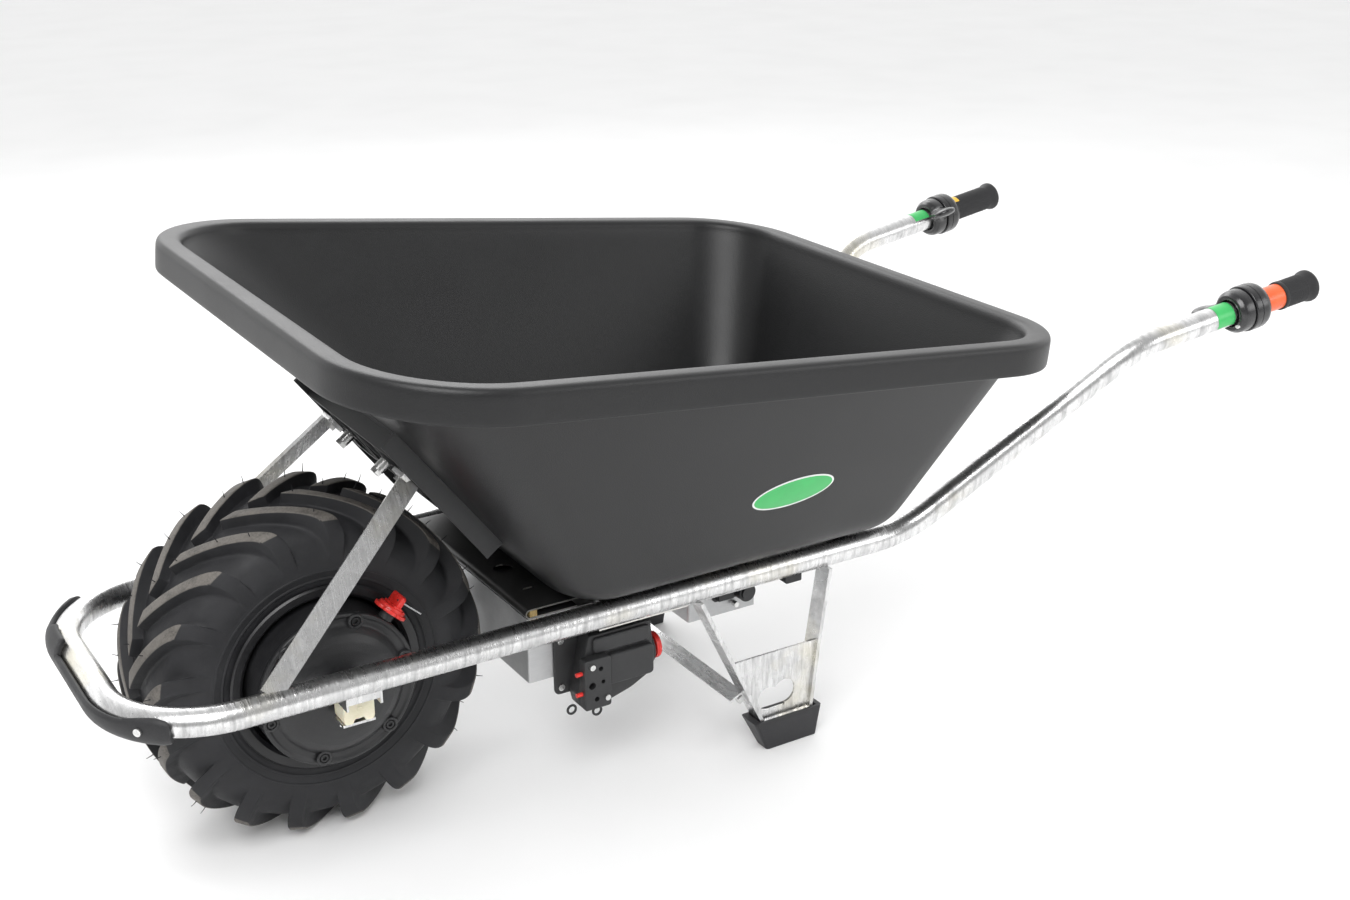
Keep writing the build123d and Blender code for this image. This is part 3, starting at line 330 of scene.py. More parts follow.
TRAY_BLACK = (0.006, 0.0061, 0.0066), (0.0115, 0.0117, 0.0125)
COVER_BLACK = (0.012, 0.0122, 0.013), (0.026, 0.0262, 0.028)
CASE_BLACK = (0.0135, 0.0137, 0.0145), (0.03, 0.0305, 0.032)
GLOSS_BLACK = (0.008, 0.008, 0.009), (0.016, 0.016, 0.018)
# What makes each of the record's slots, and three inks
MAKERS = {
    "galvanised": (galvanised,),
    "zinc_fasteners": (bright_metal,),
    "tray_plastic": (grained_plastic, *TRAY_BLACK, (0.36, 0.46), 750, 0.00025, 0.4),
    "tyre_rubber": (tyre_rubber,),
    "guard_rubber": (soft_rubber,),
    "foot_rubber": (soft_rubber, (0.014, 0.014, 0.016), (0.032, 0.032, 0.035), (0.4, 0.56)),
    "grip_rubber": (soft_rubber, *SOFT_BLACK, (0.5, 0.68)),
    "wheel_paint": (painted, (0.01, 0.01, 0.011)),
    "cover_plastic": (grained_plastic, *COVER_BLACK, (0.34, 0.48), 700),
    "black_plastic": (grained_plastic, *CASE_BLACK),
    "control_plastic": (grained_plastic, *GLOSS_BLACK, (0.2, 0.32), 1200, 0.0001, 0.55, 0.3),
    "red_plastic": (coloured_plastic, (0.78, 0.03, 0.022)),
    "orange_plastic": (coloured_plastic, (0.85, 0.13, 0.03)),
    "nylon": (nylon,),
    "case_aluminium": (aluminium_sheet,),
    "plate_steel": (plate_steel,),
    "packing": (packing,),
    "axle_steel": (bright_metal, (0.66, 0.67, 0.68), (0.2, 0.34)),
    "motor_iron": (bright_metal, (0.36, 0.36, 0.38), (0.4, 0.6)),
    "copper": (bright_metal, (0.8, 0.38, 0.2), (0.25, 0.4)),
    "board": (coloured_plastic, (0.02, 0.2, 0.08), (0.4, 0.55)),
    "battery_wrap": (coloured_plastic, (0.04, 0.1, 0.3), (0.2, 0.3)),
    "label_white": (plain_print, (0.86, 0.87, 0.86)),
    "label_green": (plain_print, (0.05, 0.5, 0.13)),
    "label_yellow": (plain_print, (0.85, 0.5, 0.04)),
}
FINISHES = {name: maker(name, *values) for name, (maker, *values) in MAKERS.items()}


def dress_nodes():
    """Gives every CAD node its slot's material."""
    slot_of = {part["node"]: part["material_slot"] for part in RECORD["subparts"]}
    for name, node in NODES.items():
        node.data.materials.clear()
        node.data.materials.append(FINISHES[slot_of[name]])
        for face in node.data.polygons:
            face.material_index = 0


# ---- mesh helpers

def add_object(name, data):
    obj = bpy.data.objects.new(name, data)
    bpy.context.scene.collection.objects.link(obj)
    return obj


def smooth(mesh, sharp):
    """Smooth shading, but for edges sharper than that many degrees."""
    mesh.shade_smooth()
    mesh.set_sharp_from_angle(angle=radians(sharp))


def circle(count):
    """Angles evenly round a circle."""
    return [2 * pi * k / count for k in range(count)]


def scaled(points):
    """Millimetre pairs in metres."""
    return [(a * MM, b * MM) for a, b in points]


def mesh_object(name, points, faces, slot, sharp=35.0):
    mesh = bpy.data.meshes.new(name)
    mesh.from_pydata([tuple(p) for p in points], [], faces)
    mesh.validate()
    obj = add_object(name, mesh)
    edit = bmesh.new()
    edit.from_mesh(mesh)
    bmesh.ops.remove_doubles(edit, verts=edit.verts, dist=1e-6)
    bmesh.ops.recalc_face_normals(edit, faces=edit.faces)
    edit.to_mesh(mesh)
    edit.free()
    mesh.materials.append(FINISHES[slot])
    smooth(mesh, sharp)
    return obj


def grid_faces(rows, columns, loop=False):
    """Quads over closed rows of points stored row by row."""
    faces = []
    for i in range(rows if loop else rows - 1):
        here = i * columns
        there = ((i + 1) % rows) * columns
        for j in range(columns):
            k = (j + 1) % columns
            faces.append((here + j, here + k, there + k, there + j))
    return faces


def shell(name, rings, slot, loop=False, sharp=35.0):
    """A surface through closed rings of points, capped at both ends or joined into a loop."""
    count = len(rings[0])
    points = [p for ring in rings for p in ring]
    faces = grid_faces(len(rings), count, loop)
    if not loop:
        faces.append(tuple(range(count)))
        faces.append(tuple(range(len(points) - count, len(points))))
    return mesh_object(name, points, faces, slot, sharp)


def lathe(name, profile, frame_matrix, slot, segments=96, sharp=35.0):
    """Turns a closed outline of (along, radius) points about the frame's Z axis."""
    rings = []
    for along, radius in profile:
        ring = [Vector((radius * cos(a), radius * sin(a), along)) for a in circle(segments)]
        rings.append([frame_matrix @ point for point in ring])
    return shell(name, rings, slot, loop=True, sharp=sharp)


def rounded(profile, radius, steps):
    """A closed 2D outline with its corners rounded."""
    result = []
    count = len(profile)
    for i, corner in enumerate(profile):
        here = Vector(corner)
        before = Vector(profile[i - 1]) - here
        after = Vector(profile[(i + 1) % count]) - here
        reach = min(radius, 0.49 * before.length, 0.49 * after.length)
        start = here + before.normalized() * reach
        end = here + after.normalized() * reach
        for k in range(steps + 1):
            t = k / steps
            spot = (1 - t) ** 2 * start + 2 * t * (1 - t) * here + t * t * end
            result.append((spot.x, spot.y))
    return result


def block(name, outline, low, high, frame_matrix, slot, bevel, segments):
    """A 2D outline in the frame's XY, between two heights along its Z, with bevelled edges."""
    rings = [[frame_matrix @ Vector((x, y, z)) for x, y in outline] for z in (low, high)]
    obj = shell(name, rings, slot)
    add_bevel(obj, bevel, segments)
    return obj


def add_bevel(obj, width, segments, angle=35.0):
    modifier = obj.modifiers.new("bevel", "BEVEL")
    modifier.width = width
    modifier.segments = segments
    modifier.limit_method = "ANGLE"
    modifier.angle_limit = radians(angle)
    modifier.use_clamp_overlap = True
    apply_modifiers(obj)
    smooth(obj.data, 50)


def apply_modifiers(obj):
    bpy.context.view_layer.update()
    evaluated = obj.evaluated_get(bpy.context.evaluated_depsgraph_get())
    mesh = bpy.data.meshes.new_from_object(evaluated)
    obj.modifiers.clear()
    obj.data = mesh


def join(name, pieces):
    """Joins mesh objects of one material each into a new object."""
    edit = bmesh.new()
    materials = []
    for member in pieces:
        mesh = member.data
        if mesh.materials[0] not in materials:
            materials.append(mesh.materials[0])
        index = materials.index(mesh.materials[0])
        for face in mesh.polygons:
            face.material_index = index
        edit.from_mesh(mesh)
        bpy.data.objects.remove(member)
    mesh = bpy.data.meshes.new(name)
    edit.to_mesh(mesh)
    edit.free()
    for material in materials:
        mesh.materials.append(material)
    smooth(mesh, 40)
    return add_object(name, mesh)


def piece(obj, body, slot, *nodes):
    """Attaches a finished object to its body and hides the CAD nodes that it stands for. The slot argument is
    not used.
    """
    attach(obj, body)
    if nodes:
        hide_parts(*nodes)
    return obj


def axes(origin, z, x):
    """A matrix with its origin, Z along z and X near x."""
    z = Vector(z).normalized()
    y = z.cross(Vector(x)).normalized()
    x = y.cross(z)
    matrix = Matrix((x, y, z)).transposed().to_4x4()
    matrix.translation = origin
    return matrix


def spline(points, steps):
    """Catmull-Rom through points of any dimension."""
    result = []
    for i in range(len(points) - 1):
        p0 = Vector(points[max(i - 1, 0)])
        p1, p2 = Vector(points[i]), Vector(points[i + 1])
        p3 = Vector(points[min(i + 2, len(points) - 1)])
        for k in range(steps):
            t = k / steps
            result.append(0.5 * (2 * p1 + (p2 - p0) * t + (2 * p0 - 5 * p1 + 4 * p2 - p3) * t * t
                                 + (3 * p1 - p0 - 3 * p2 + p3) * t ** 3))
    result.append(Vector(points[-1]))
    return result


# ---- wheel

BARS = 17
BAR_START = 0.003
BAR_TOP_R = 191.0                        # millimetres: above this, a bar's surface counts as its dusty top
BAR_TOP_SHARE = 0.955
BAR_LEAN = 1.26                          # how far a bar runs round the tread for each step outward
# Half of a bar across its width, as (millimetres from its middle, share of its height)
BAR_HALF = ((0.0, 1.0), (4.6, 1.0), (9.4, 1.0), (10.3, 0.97), (10.9, 0.86), (12.4, 0.2), (13.4, 0.05),
            (15.5, 0.0))
BAR_STEPS = [(-offset, share) for offset, share in reversed(BAR_HALF[1:])] + list(BAR_HALF)
# Casing (y, radius), bar top (y, radius) and how much of the bar stands, in millimetres from the centre out
TREAD = ((0, 190, 0, 203, 0), (1.6, 190, 1.8, 203, 0), (2.6, 190, 2.2, 203, 0.86),
         (3.2, 190, 3.0, 203, 0.98), (4.5, 190, 4.5, 203, 1), (12, 189.8, 12, 203, 1),
         (22, 189.2, 22, 202.8, 1), (34, 188, 34.5, 202.4, 1), (46, 186, 47, 201.6, 1),
         (56, 183.4, 58, 200.2, 1), (64, 179.8, 67, 198.2, 1), (70, 175, 73.5, 195.4, 1),
         (73, 171.5, 76.2, 193, 0.99), (75.2, 168, 78.6, 189.6, 0.97), (77.6, 163, 81, 184, 0.95),
         (79.6, 158, 82.8, 177, 0.92), (81, 154, 83.8, 170, 0.86), (82, 149.5, 84, 162, 0.7),
         (82.4, 145, 84, 154, 0.35), (82.5, 141, 83.4, 147, 0.05), (82.3, 137, 82.6, 140, 0))
SIDEWALL = ((82.6, 134.4), (83.1, 134.0), (83.1, 132.4), (82.3, 131.9), (81.2, 128), (80.0, 124.5),
            (80.5, 124.0), (80.5, 122.2), (79.4, 121.6), (78.2, 118.5), (77.6, 116.2), (76.9, 115.0),
            (76.9, 104))
CAVITY = ((68, 104), (66, 114), (71, 130), (73, 144), (71, 154), (64, 164), (50, 172), (0, 178))


def tyre_rows():
    """Half of the tyre's section, from the centre out, in TREAD's terms."""
    rows = spline(TREAD, 2)
    plain = [Vector((y, r, y, r, 0)) for y, r in SIDEWALL + CAVITY]
    return rows + plain


def tyre_columns():
    """Places round the tread, as (angle, bar share on the left side, bar share on the right side)."""
    pitch = 2 * pi / BARS
    places = []
    for bar in range(BARS):
        for offset, share in BAR_STEPS:
            turn = offset * MM / TYRE_R
            places.append((bar * pitch + turn, share, 0.0))
            places.append(((bar + 0.5) * pitch + turn, 0.0, share))
    return sorted(places)


def on_wheel(angle, y, radius):
    """A point on the wheel. The angle is clockwise from the top, seen from the left."""
    return Vector((AXLE.x + radius * sin(angle), y, AXLE.z + radius * cos(angle)))


def tyre_leans(rows):
    """How far each row is turned along its bars. Rows past the widest one turn as far as it does."""
    full = max(row[2] for row in rows) * MM - BAR_START
    leans = []
    for row in rows:
        lean = max(row[2] * MM - BAR_START, 0.0)
        past = leans and leans[-1] == BAR_LEAN * full / TYRE_R
        leans.append(BAR_LEAN * (full if past or lean >= full - 1e-5 else lean) / TYRE_R)
    return leans


def tyre():
    """The casing with its chevron bars, as one surface whose rows lean along the bars."""
    rows = tyre_rows()
    columns = tyre_columns()
    rings, shares = [], []
    section = [(row, 1) for row in rows] + [(row, -1) for row in reversed(rows[1:-1])]
    leans = tyre_leans(rows)
    leans += reversed(leans[1:-1])
    for (row, side), lean in zip(section, leans):
        casing_y, casing_r, bar_y, bar_r, stand = row
        ring = []
        for angle, left, right in columns:
            share = (left if side < 0 else right) * stand
            y = casing_y + (bar_y - casing_y) * share
            radius = casing_r + (bar_r - casing_r) * share
            ring.append(on_wheel(angle + lean, side * y * MM, radius * MM))
            shares.append(1.0 if share > BAR_TOP_SHARE and radius > BAR_TOP_R else 0.0)
        rings.append(ring)
    points = [p for ring in rings for p in ring]
    faces = grid_faces(len(rings), len(columns), loop=True)
    mesh = bpy.data.meshes.new("tyre_tread")
    mesh.from_pydata([tuple(p) for p in points], [], faces)
    top = mesh.attributes.new("bar_top", "FLOAT", "POINT")
    top.data.foreach_set("value", shares)
    mesh.materials.append(FINISHES["tyre_rubber"])
    smooth(mesh, 42)
    obj = add_object("tyre_tread", mesh)
    if sum(face.normal.dot(face.center - AXLE) for face in list(mesh.polygons)[:50]) < 0:
        mesh.flip_normals()
    return piece(obj, "wheel", "tyre_rubber", "tyre")


def hair(base, direction, length, bend):
    """One thin rubber hair, left by the mould's vents."""
    side = direction.orthogonal().normalized()
    rings = []
    for step in range(4):
        t = step / 3
        centre = base + direction * length * t + side * bend * t * t
        radius = 0.0007 * (1 - 0.55 * t)
        frame_matrix = axes(centre, direction, side)
        rings.append([frame_matrix @ Vector((radius * cos(a), radius * sin(a), 0)) for a in circle(5)])
    return shell("hair", rings, "tyre_rubber")


HAIR_SPOTS = ((0.006, 0.2025), (0.041, 0.2015), (0.066, 0.198))      # Y and radius of the hairs on one bar


def tyre_hairs():
    """Hairs over the bars, none near the ground."""
    hairs = []
    pitch = 2 * pi / BARS
    for side in (-1, 1):
        for bar in range(BARS):
            for y, radius in HAIR_SPOTS:
                angle = (bar + (0.5 if side > 0 else 0)) * pitch + BAR_LEAN * (y - BAR_START) / TYRE_R
                if cos(angle) < -0.72 or random.random() < 0.25:
                    continue
                angle += random.uniform(-0.012, 0.012)
                base = on_wheel(angle, side * (y + random.uniform(-0.002, 0.002)), radius)
                out = Vector((sin(angle), side * random.uniform(-0.1, 0.35), cos(angle))).normalized()
                hairs.append(hair(base, out, random.uniform(0.007, 0.011), random.uniform(-0.002, 0.002)))
    return piece(join("tyre_hairs", hairs), "wheel", "tyre_rubber")


# ---- tray

TRAY_FLOOR_Z = 0.2624
TRAY_WALL = 0.0045
RIM_FRONT = (-0.046, 0.643)
RIM_TILT = radians(6.65)
RIM_LENGTH = 0.924
RIM_HALF = (0.406, 0.368)
RIM_CORNER = (0.150, 0.125)
RIM_OVERHANG = 0.026
RIM_UNDER = 0.009                        # depth at which the outer wall meets the rim
FLOOR_X = (0.262, 0.735)
FLOOR_HALF = 0.205
FLOOR_CORNER = 0.062
EDGE_ROUND = 0.042
ARC_STEPS = 14
STRAIGHT_STEPS = 10
# The rim from under its overhang, round its skirt and over to the inside: (inset, depth below its top)
RIM_SECTION = ((0.0245, 0.0058), (0.022, 0.0048), (0.0095, 0.0048), (0.0055, 0.0062), (0.0045, 0.0105),
               (0.0045, 0.022), (0.0045, 0.0365), (0.0038, 0.0378), (0.0022, 0.038), (0.0007, 0.0375),
               (0.0, 0.0362), (0.0, 0.024), (0.0, 0.0105), (0.0003, 0.0068), (0.0014, 0.0036),
               (0.0034, 0.0014), (0.0062, 0.0003), (0.010, 0.0), (0.0185, 0.0), (0.0235, 0.0005),
               (0.0275, 0.0022), (0.0302, 0.0052), (0.0316, 0.0095))


def filleted(corners, radii):
    """Points round a polygon with rounded corners, the same count whatever its size."""
    arcs = []
    for i, (corner, radius) in enumerate(zip(corners, radii)):
        here = Vector(corner)
        to_before = (Vector(corners[i - 1]) - here).normalized()
        to_after = (Vector(corners[(i + 1) % len(corners)]) - here).normalized()
        half_angle = to_before.angle(to_after) / 2
        centre = here + (to_before + to_after).normalized() * radius / sin(half_angle)
        tangent = radius * cos(half_angle) / sin(half_angle)
        start = here + to_before * tangent - centre
        turn = pi - 2 * half_angle
        sign = 1 if start.cross(here + to_after * tangent - centre) > 0 else -1
        arc = []
        for k in range(ARC_STEPS + 1):
            a = sign * turn * k / ARC_STEPS
            turned = Vector((start.x * cos(a) - start.y * sin(a), start.x * sin(a) + start.y * cos(a)))
            arc.append(centre + turned)
        arcs.append(arc)
    points = []
    for i, arc in enumerate(arcs):
        points += arc
        following = arcs[(i + 1) % len(arcs)][0]
        for k in range(1, STRAIGHT_STEPS):
            points.append(arc[-1].lerp(following, k / STRAIGHT_STEPS))
    return points


def trapezium(front, rear, half_front, half_rear, corner_front, corner_rear):
    corners = ((front, -half_front), (rear, -half_rear), (rear, half_rear), (front, half_front))
    return filleted(corners, (corner_front, corner_rear, corner_rear, corner_front))


def rim_ring(inset, depth):
    """A closed ring on the tray's rim: inset from its outer edge, and below its top plane."""
    outline = trapezium(inset, RIM_LENGTH - inset, RIM_HALF[0] - inset, RIM_HALF[1] - inset,
                        RIM_CORNER[0] - inset, RIM_CORNER[1] - inset)
    level, drop = cos(RIM_TILT), sin(RIM_TILT)
    down = Vector((-drop, 0, -level)) * depth
    return [place(RIM_FRONT[0] + u * level, v, RIM_FRONT[1] - u * drop) + down for u, v in outline]


def floor_ring(inset, z):
    outline = trapezium(FLOOR_X[0] + inset, FLOOR_X[1] - inset, FLOOR_HALF - inset, FLOOR_HALF - inset,
                        FLOOR_CORNER - inset, FLOOR_CORNER - inset)
    return [place(x, y, z) for x, y in outline]


def towards(ring_a, ring_b, reach):
    """Points that far from ring_a's on the straight way to ring_b's."""
    return [a + (b - a).normalized() * reach for a, b in zip(ring_a, ring_b)]


def wall_rings(floor_edge, rim_edge, inset, z, count):
    """The floor's edge turned up into the wall with a round, and the wall up to just under the rim."""
    inner = floor_ring(inset + EDGE_ROUND, z)
    start = towards(floor_edge, rim_edge, EDGE_ROUND)
    rings = [floor_ring(inset + 0.058, z)]
    for k in range(9):
        t = k / 8
        rings.append([(1 - t) ** 2 * a + 2 * t * (1 - t) * b + t * t * c
                      for a, b, c in zip(inner, floor_edge, start)])
    for k in range(1, count + 1):
        t = k / count
        rings.append([a.lerp(b, t) for a, b in zip(start, rim_edge)])
    return rings


def shrunk(ring, share):
    """A ring drawn in towards the middle of the floor."""
    middle = sum(ring, Vector()) / len(ring)
    return [middle.lerp(p, share) for p in ring]


def tray():
    """A deep moulded tray: rounded floor edges, a rolled rim and a turned-down skirt."""
    outer = wall_rings(floor_ring(0, TRAY_FLOOR_Z), rim_ring(RIM_OVERHANG, RIM_UNDER), 0, TRAY_FLOOR_Z, 12)
    rings = [shrunk(outer[0], share) for share in (0.04, 0.35, 0.7)] + outer
    rings += [rim_ring(inset, depth) for inset, depth in RIM_SECTION]
    inside_z = TRAY_FLOOR_Z + TRAY_WALL
    inset = TRAY_WALL + 0.001
    inner = wall_rings(floor_ring(inset, inside_z), rim_ring(0.032, 0.014), inset, inside_z, 12)
    rings += list(reversed(inner))
    rings += [shrunk(inner[0], share) for share in (0.7, 0.35, 0.04)]
    obj = shell("tray_shell", rings, "tray_plastic", sharp=60)
    modifier = obj.modifiers.new("smooth", "SUBSURF")
    modifier.levels = modifier.render_levels = 1
    apply_modifiers(obj)
    obj.data.shade_smooth()
    return piece(obj, "chassis", "tray_plastic", "tray")


# ---- front guard

TUBE_R = 0.016
RAIL_Y = 0.180
RAIL_Z = 0.244
LOOP_FRONT = 0.245
LOOP_RADIUS = 0.112
GUARD_T = 0.008
GUARD_END = radians(56)
LOOP_STEPS = 32
GUARD_STEPS = 14


def loop_stations():
    """Centre and outward direction along the front loop, from the guard's left end to its right end."""
    stations = []
    centre_y = RAIL_Y - LOOP_RADIUS
    for k in range(LOOP_STEPS + 1):
        turn = GUARD_END * (1 - k / LOOP_STEPS)
        out = Vector((-cos(turn), -sin(turn), 0))
        stations.append((place(LOOP_RADIUS - LOOP_FRONT, -centre_y, RAIL_Z) + out * LOOP_RADIUS, out))
    flip = Vector((1, -1, 1))
    mirrored = [(centre * flip, out * flip) for centre, out in reversed(stations)]
    for k in range(1, LOOP_STEPS):
        y = -centre_y + 2 * centre_y * k / LOOP_STEPS
        stations.append((place(-LOOP_FRONT, y, RAIL_Z), Vector((-1, 0, 0))))
    return stations + mirrored


def guard_top(y, reach):
    """How far up the tube the guard comes, in degrees: a tab right of the middle, and a lap at each end."""
    def bump(value, low, high, soft):
        rise = min(max((value - low) / soft, 0), 1)
        fall = min(max((high - value) / soft, 0), 1)
        both = min(rise, fall)
        return both * both * (3 - 2 * both)
    lap = bump(reach, -1, 0.06, 0.045)
    tab = bump(y, 0.043, 0.100, 0.007)
    return 12 + 20 * lap + 46 * tab * (1 - lap)


def guard():
    """The rubber guard round the outside of the front loop."""
    stations = loop_stations()
    total = len(stations)
    rings = []
    for i, (centre, out) in enumerate(stations):
        end = min(i, total - 1 - i)
        reach = end * GUARD_END * LOOP_RADIUS / LOOP_STEPS
        close = min(1.0, 0.55 + 0.45 * sqrt(min(1.0, end / 4)))
        high = radians(guard_top(centre.y, reach)) * close
        low = radians(-80) * close
        inner, outer = TUBE_R + 0.0003, TUBE_R + GUARD_T * min(1.0, 0.75 + 0.25 * end / 3)
        up = [low + (high - low) * k / GUARD_STEPS for k in range(GUARD_STEPS + 1)]
        section = [(inner, a) for a in up]
        middle = (inner + outer) / 2
        tip = (outer - inner) / 2 / middle
        section += [(middle - 0.001, high + tip * 0.8), (middle + 0.0015, high + tip * 0.8)]
        section += [(outer, a) for a in reversed(up)]
        section += [(middle + 0.0015, low - tip * 0.8), (middle - 0.001, low - tip * 0.8)]
        rings.append([centre + out * r * cos(a) + Vector((0, 0, r * sin(a))) for r, a in section])
    obj = shell("guard_rubber_strip", rings, "guard_rubber", sharp=70)
    add_bevel(obj, 0.0008, 2, 60)
    return piece(obj, "chassis", "guard_rubber", "bumper_guard")


# ---- hub

DRUM_HALF = 0.108
COVER = ((0.0, 93), (4.5, 93), (6.4, 92.2), (7.0, 90.6), (6.9, 88.6), (5.6, 87.2), (4.6, 85.6), (4.5, 81),
         (5.4, 78.4), (8.4, 75.6), (13.0, 70.5), (17.4, 63), (21.0, 53), (23.8, 42), (25.6, 31),
         (26.3, 25.5), (26.6, 22), (26.2, 19.5), (26.2, 14.0), (0.0, 14.0))
SCREW_R = 0.0834
SCREW_FIRST = radians(73)


BOSS = ((0.0, 9.4), (7.6, 9.4), (8.8, 9.0), (9.3, 8.2), (9.3, 6.4), (8.8, 5.9), (4.0, 5.6), (0.0, 5.6))
WEB = ((-9.0, -80), (9.0, -80), (7.0, -91), (-7.0, -91))
WEB_HEIGHT = 0.0062
SCREW_HEAD = ((5.0, 0.01), (5.0, 5.2), (8.2, 5.2), (8.8, 4.7), (8.8, 2.6), (6.4, 2.4), (6.4, 0.01))


def screw_turns():
    return [SCREW_FIRST + index * pi / 3 for index in range(6)]


def drum_end(side, x=0.0, z=0.0):
    """Axes on one end of the drum, with Z pointing out of it."""
    return axes(Vector((AXLE.x + x, side * DRUM_HALF, AXLE.z + z)), (0, side, 0), (1, 0, 0))


def hub_cover(side, name):
    """A domed cover with a raised lip, and a boss on a web at each of six screws."""
    pieces = [lathe("dome", scaled(rounded(COVER, 1.2, 2)), drum_end(side), "cover_plastic", 144)]
    for turn in screw_turns():
        spot = drum_end(side, SCREW_R * cos(turn), SCREW_R * sin(turn))
        pieces.append(lathe("boss", scaled(BOSS), spot, "cover_plastic", 28))
    for turn in screw_turns():
        turned = drum_end(side) @ Matrix.Rotation(-side * turn + pi / 2, 4, "Z")
        pieces.append(block("web", scaled(WEB), 0.0, WEB_HEIGHT, turned, "cover_plastic", 0.0008, 2))
    return piece(join("dome_cover_" + name, pieces), "wheel", "cover_plastic", "hub_cover_" + name)


def socket_screws():
    """Black socket screws sunk in the covers' bosses."""
    pieces = []
    for side in (-1, 1):
        for turn in screw_turns():
            spot = drum_end(side, SCREW_R * cos(turn), SCREW_R * sin(turn))
            pieces.append(lathe("screw", scaled(SCREW_HEAD), spot, "wheel_paint", 20))
    return piece(join("socket_screws", pieces), "wheel", "wheel_paint", "cover_screws")


# ---- freewheel knob

KNOB_ANGLE = radians(48)
KNOB_Y = -0.106
KNOB_BASE = 0.1023                       # from the axle to the knob's underside


KNOB_COLLAR = ((4.0, 1.0), (4.0, 16.8), (7.2, 16.4), (8.4, 15.2), (8.4, 1.0))
KNOB_WING = ((-13, 8), (13, 8), (12.5, 23.5), (-12.5, 23.5))
KNOB_FOOT = ((-14.5, -6.5), (14.5, -6.5), (14.5, 6.5), (-14.5, 6.5))
SCALLOP_R = 0.0205
SCALLOP_DEPTH = 0.0019


def knob():
    """The red winged knob: a scalloped disc, a collar and a wing with rounded shoulders."""
    direction = Vector((cos(KNOB_ANGLE), 0, sin(KNOB_ANGLE)))
    base = axes(Vector((AXLE.x, KNOB_Y, AXLE.z)) + direction * KNOB_BASE, direction, (0, 1, 0))
    scallop = []
    for turn in circle(144):
        radius = SCALLOP_R - SCALLOP_DEPTH * max(0.0, cos(6 * turn)) ** 3
        scallop.append((radius * cos(turn), radius * sin(turn)))
    upright = base @ Matrix.Rotation(pi / 2, 4, "X")
    wing = rounded(scaled(KNOB_WING), 0.005, 5)
    foot = rounded(scaled(KNOB_FOOT), 0.003, 3)
    pieces = [block("disc", scallop, 0.0, 0.0042, base, "red_plastic", 0.0008, 2),
              lathe("collar", scaled(KNOB_COLLAR), base, "red_plastic", 64),
              block("fin", wing, -0.0032, 0.0032, upright, "red_plastic", 0.0009, 2),
              block("pad", foot, 0.008, 0.0105, base, "red_plastic", 0.0008, 2)]
    return piece(join("winged_knob", pieces), "freewheel_knob", "red_plastic", "freewheel_knob")


# ---- axle blocks

NOTCH_EDGE = 0.011
NOTCH_DEPTH = 0.005
BLOCK_CORNER = 0.0075


def axle_block(side, name):
    """A cream nylon block with rounded shoulders and a notch in its underside."""
    low, high = (Vector(corner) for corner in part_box("axle_block_" + name))
    half, reach, tall = (high - low) / 2
    slope = NOTCH_EDGE + 0.001
    outline = [(-half, -tall), (-half + NOTCH_EDGE, -tall), (-half + slope, -tall + NOTCH_DEPTH),
               (half - slope, -tall + NOTCH_DEPTH), (half - NOTCH_EDGE, -tall), (half, -tall), (half, tall),
               (-half, tall)]
    outline = [(x, y * side * -1) for x, y in rounded(outline, BLOCK_CORNER, 6)]
    out = axes((low + high) / 2, (0, side, 0), (1, 0, 0))
    body = block("body", outline, -reach, reach + 0.0008, out, "nylon", 0.0022, 4)
    pip = lathe("pip", [(reach, 0.0002), (reach, 0.003), (reach + 0.0014, 0.0027), (reach + 0.0016, 0.0002)],
                out, "nylon", 24)
    return piece(join("nylon_block_" + name, [body, pip]), "chassis", "nylon", "axle_block_" + name)


# ---- stickers and labels

def wall_spot(along, up):
    """A point on the outside of the tray's left wall, by shares of its straight part."""
    count = len(floor_ring(0, TRAY_FLOOR_Z)) // 4
    low, high = floor_ring(0, TRAY_FLOOR_Z), rim_ring(RIM_OVERHANG, RIM_UNDER)
    first = count - STRAIGHT_STEPS
    bottom = low[first].lerp(low[count], along)
    top = high[first].lerp(high[count], along)
    return bottom.lerp(top, up)


STICKER_SPOT = (0.59, 0.39)
STICKER_TURN = radians(8)


def oval(name, half_long, half_short, lift, slot):
    """A thin oval on the tray's left wall, a little turned."""
    along, up = STICKER_SPOT
    centre = wall_spot(along, up)
    rearward = (wall_spot(along + 0.1, up) - wall_spot(along - 0.1, up)).normalized()
    upward = (wall_spot(along, up + 0.1) - wall_spot(along, up - 0.1)).normalized()
    out = rearward.cross(upward).normalized()
    if out.y > 0:
        out = -out
    long_axis = rearward * cos(STICKER_TURN) + upward * sin(STICKER_TURN)
    short_axis = out.cross(long_axis).normalized()
    rings = []
    for height, share in ((-0.0004, 1.0), (lift, 1.0), (lift + 0.00008, 0.985)):
        middle = centre + out * height
        wide, narrow = long_axis * half_long * share, short_axis * half_short * share
        rings.append([middle + wide * cos(a) + narrow * sin(a) for a in circle(96)])
    return shell(name, rings, slot)


def sticker():
    """A plain green oval with a white border. The real one's lettering is left out."""
    white = oval("sticker_border", 0.058, 0.0235, 0.00035, "label_white")
    green = oval("sticker_field", 0.0555, 0.021, 0.00055, "label_green")
    return piece(join("tray_sticker", [white, green]), "chassis", "tray_plastic")


# ---- handles

BEND = (1.020, 0.298, 0.482)
HANDLE_END = (1.318, 0.3157, 0.523)
LEVER_START = 0.160
LEVER_LENGTH = 0.022
HOUSING_START = 0.1823
HOUSING_LENGTH = 0.030
HOUSING_BORE = 0.0165
HOUSING_ROUNDS = (0.012, 0.0016)         # at the grip's end and at the lever's end
CONTROL_R = 0.031
GRIP_START_LEFT = 0.2466
GRIP_START_RIGHT = 0.2127


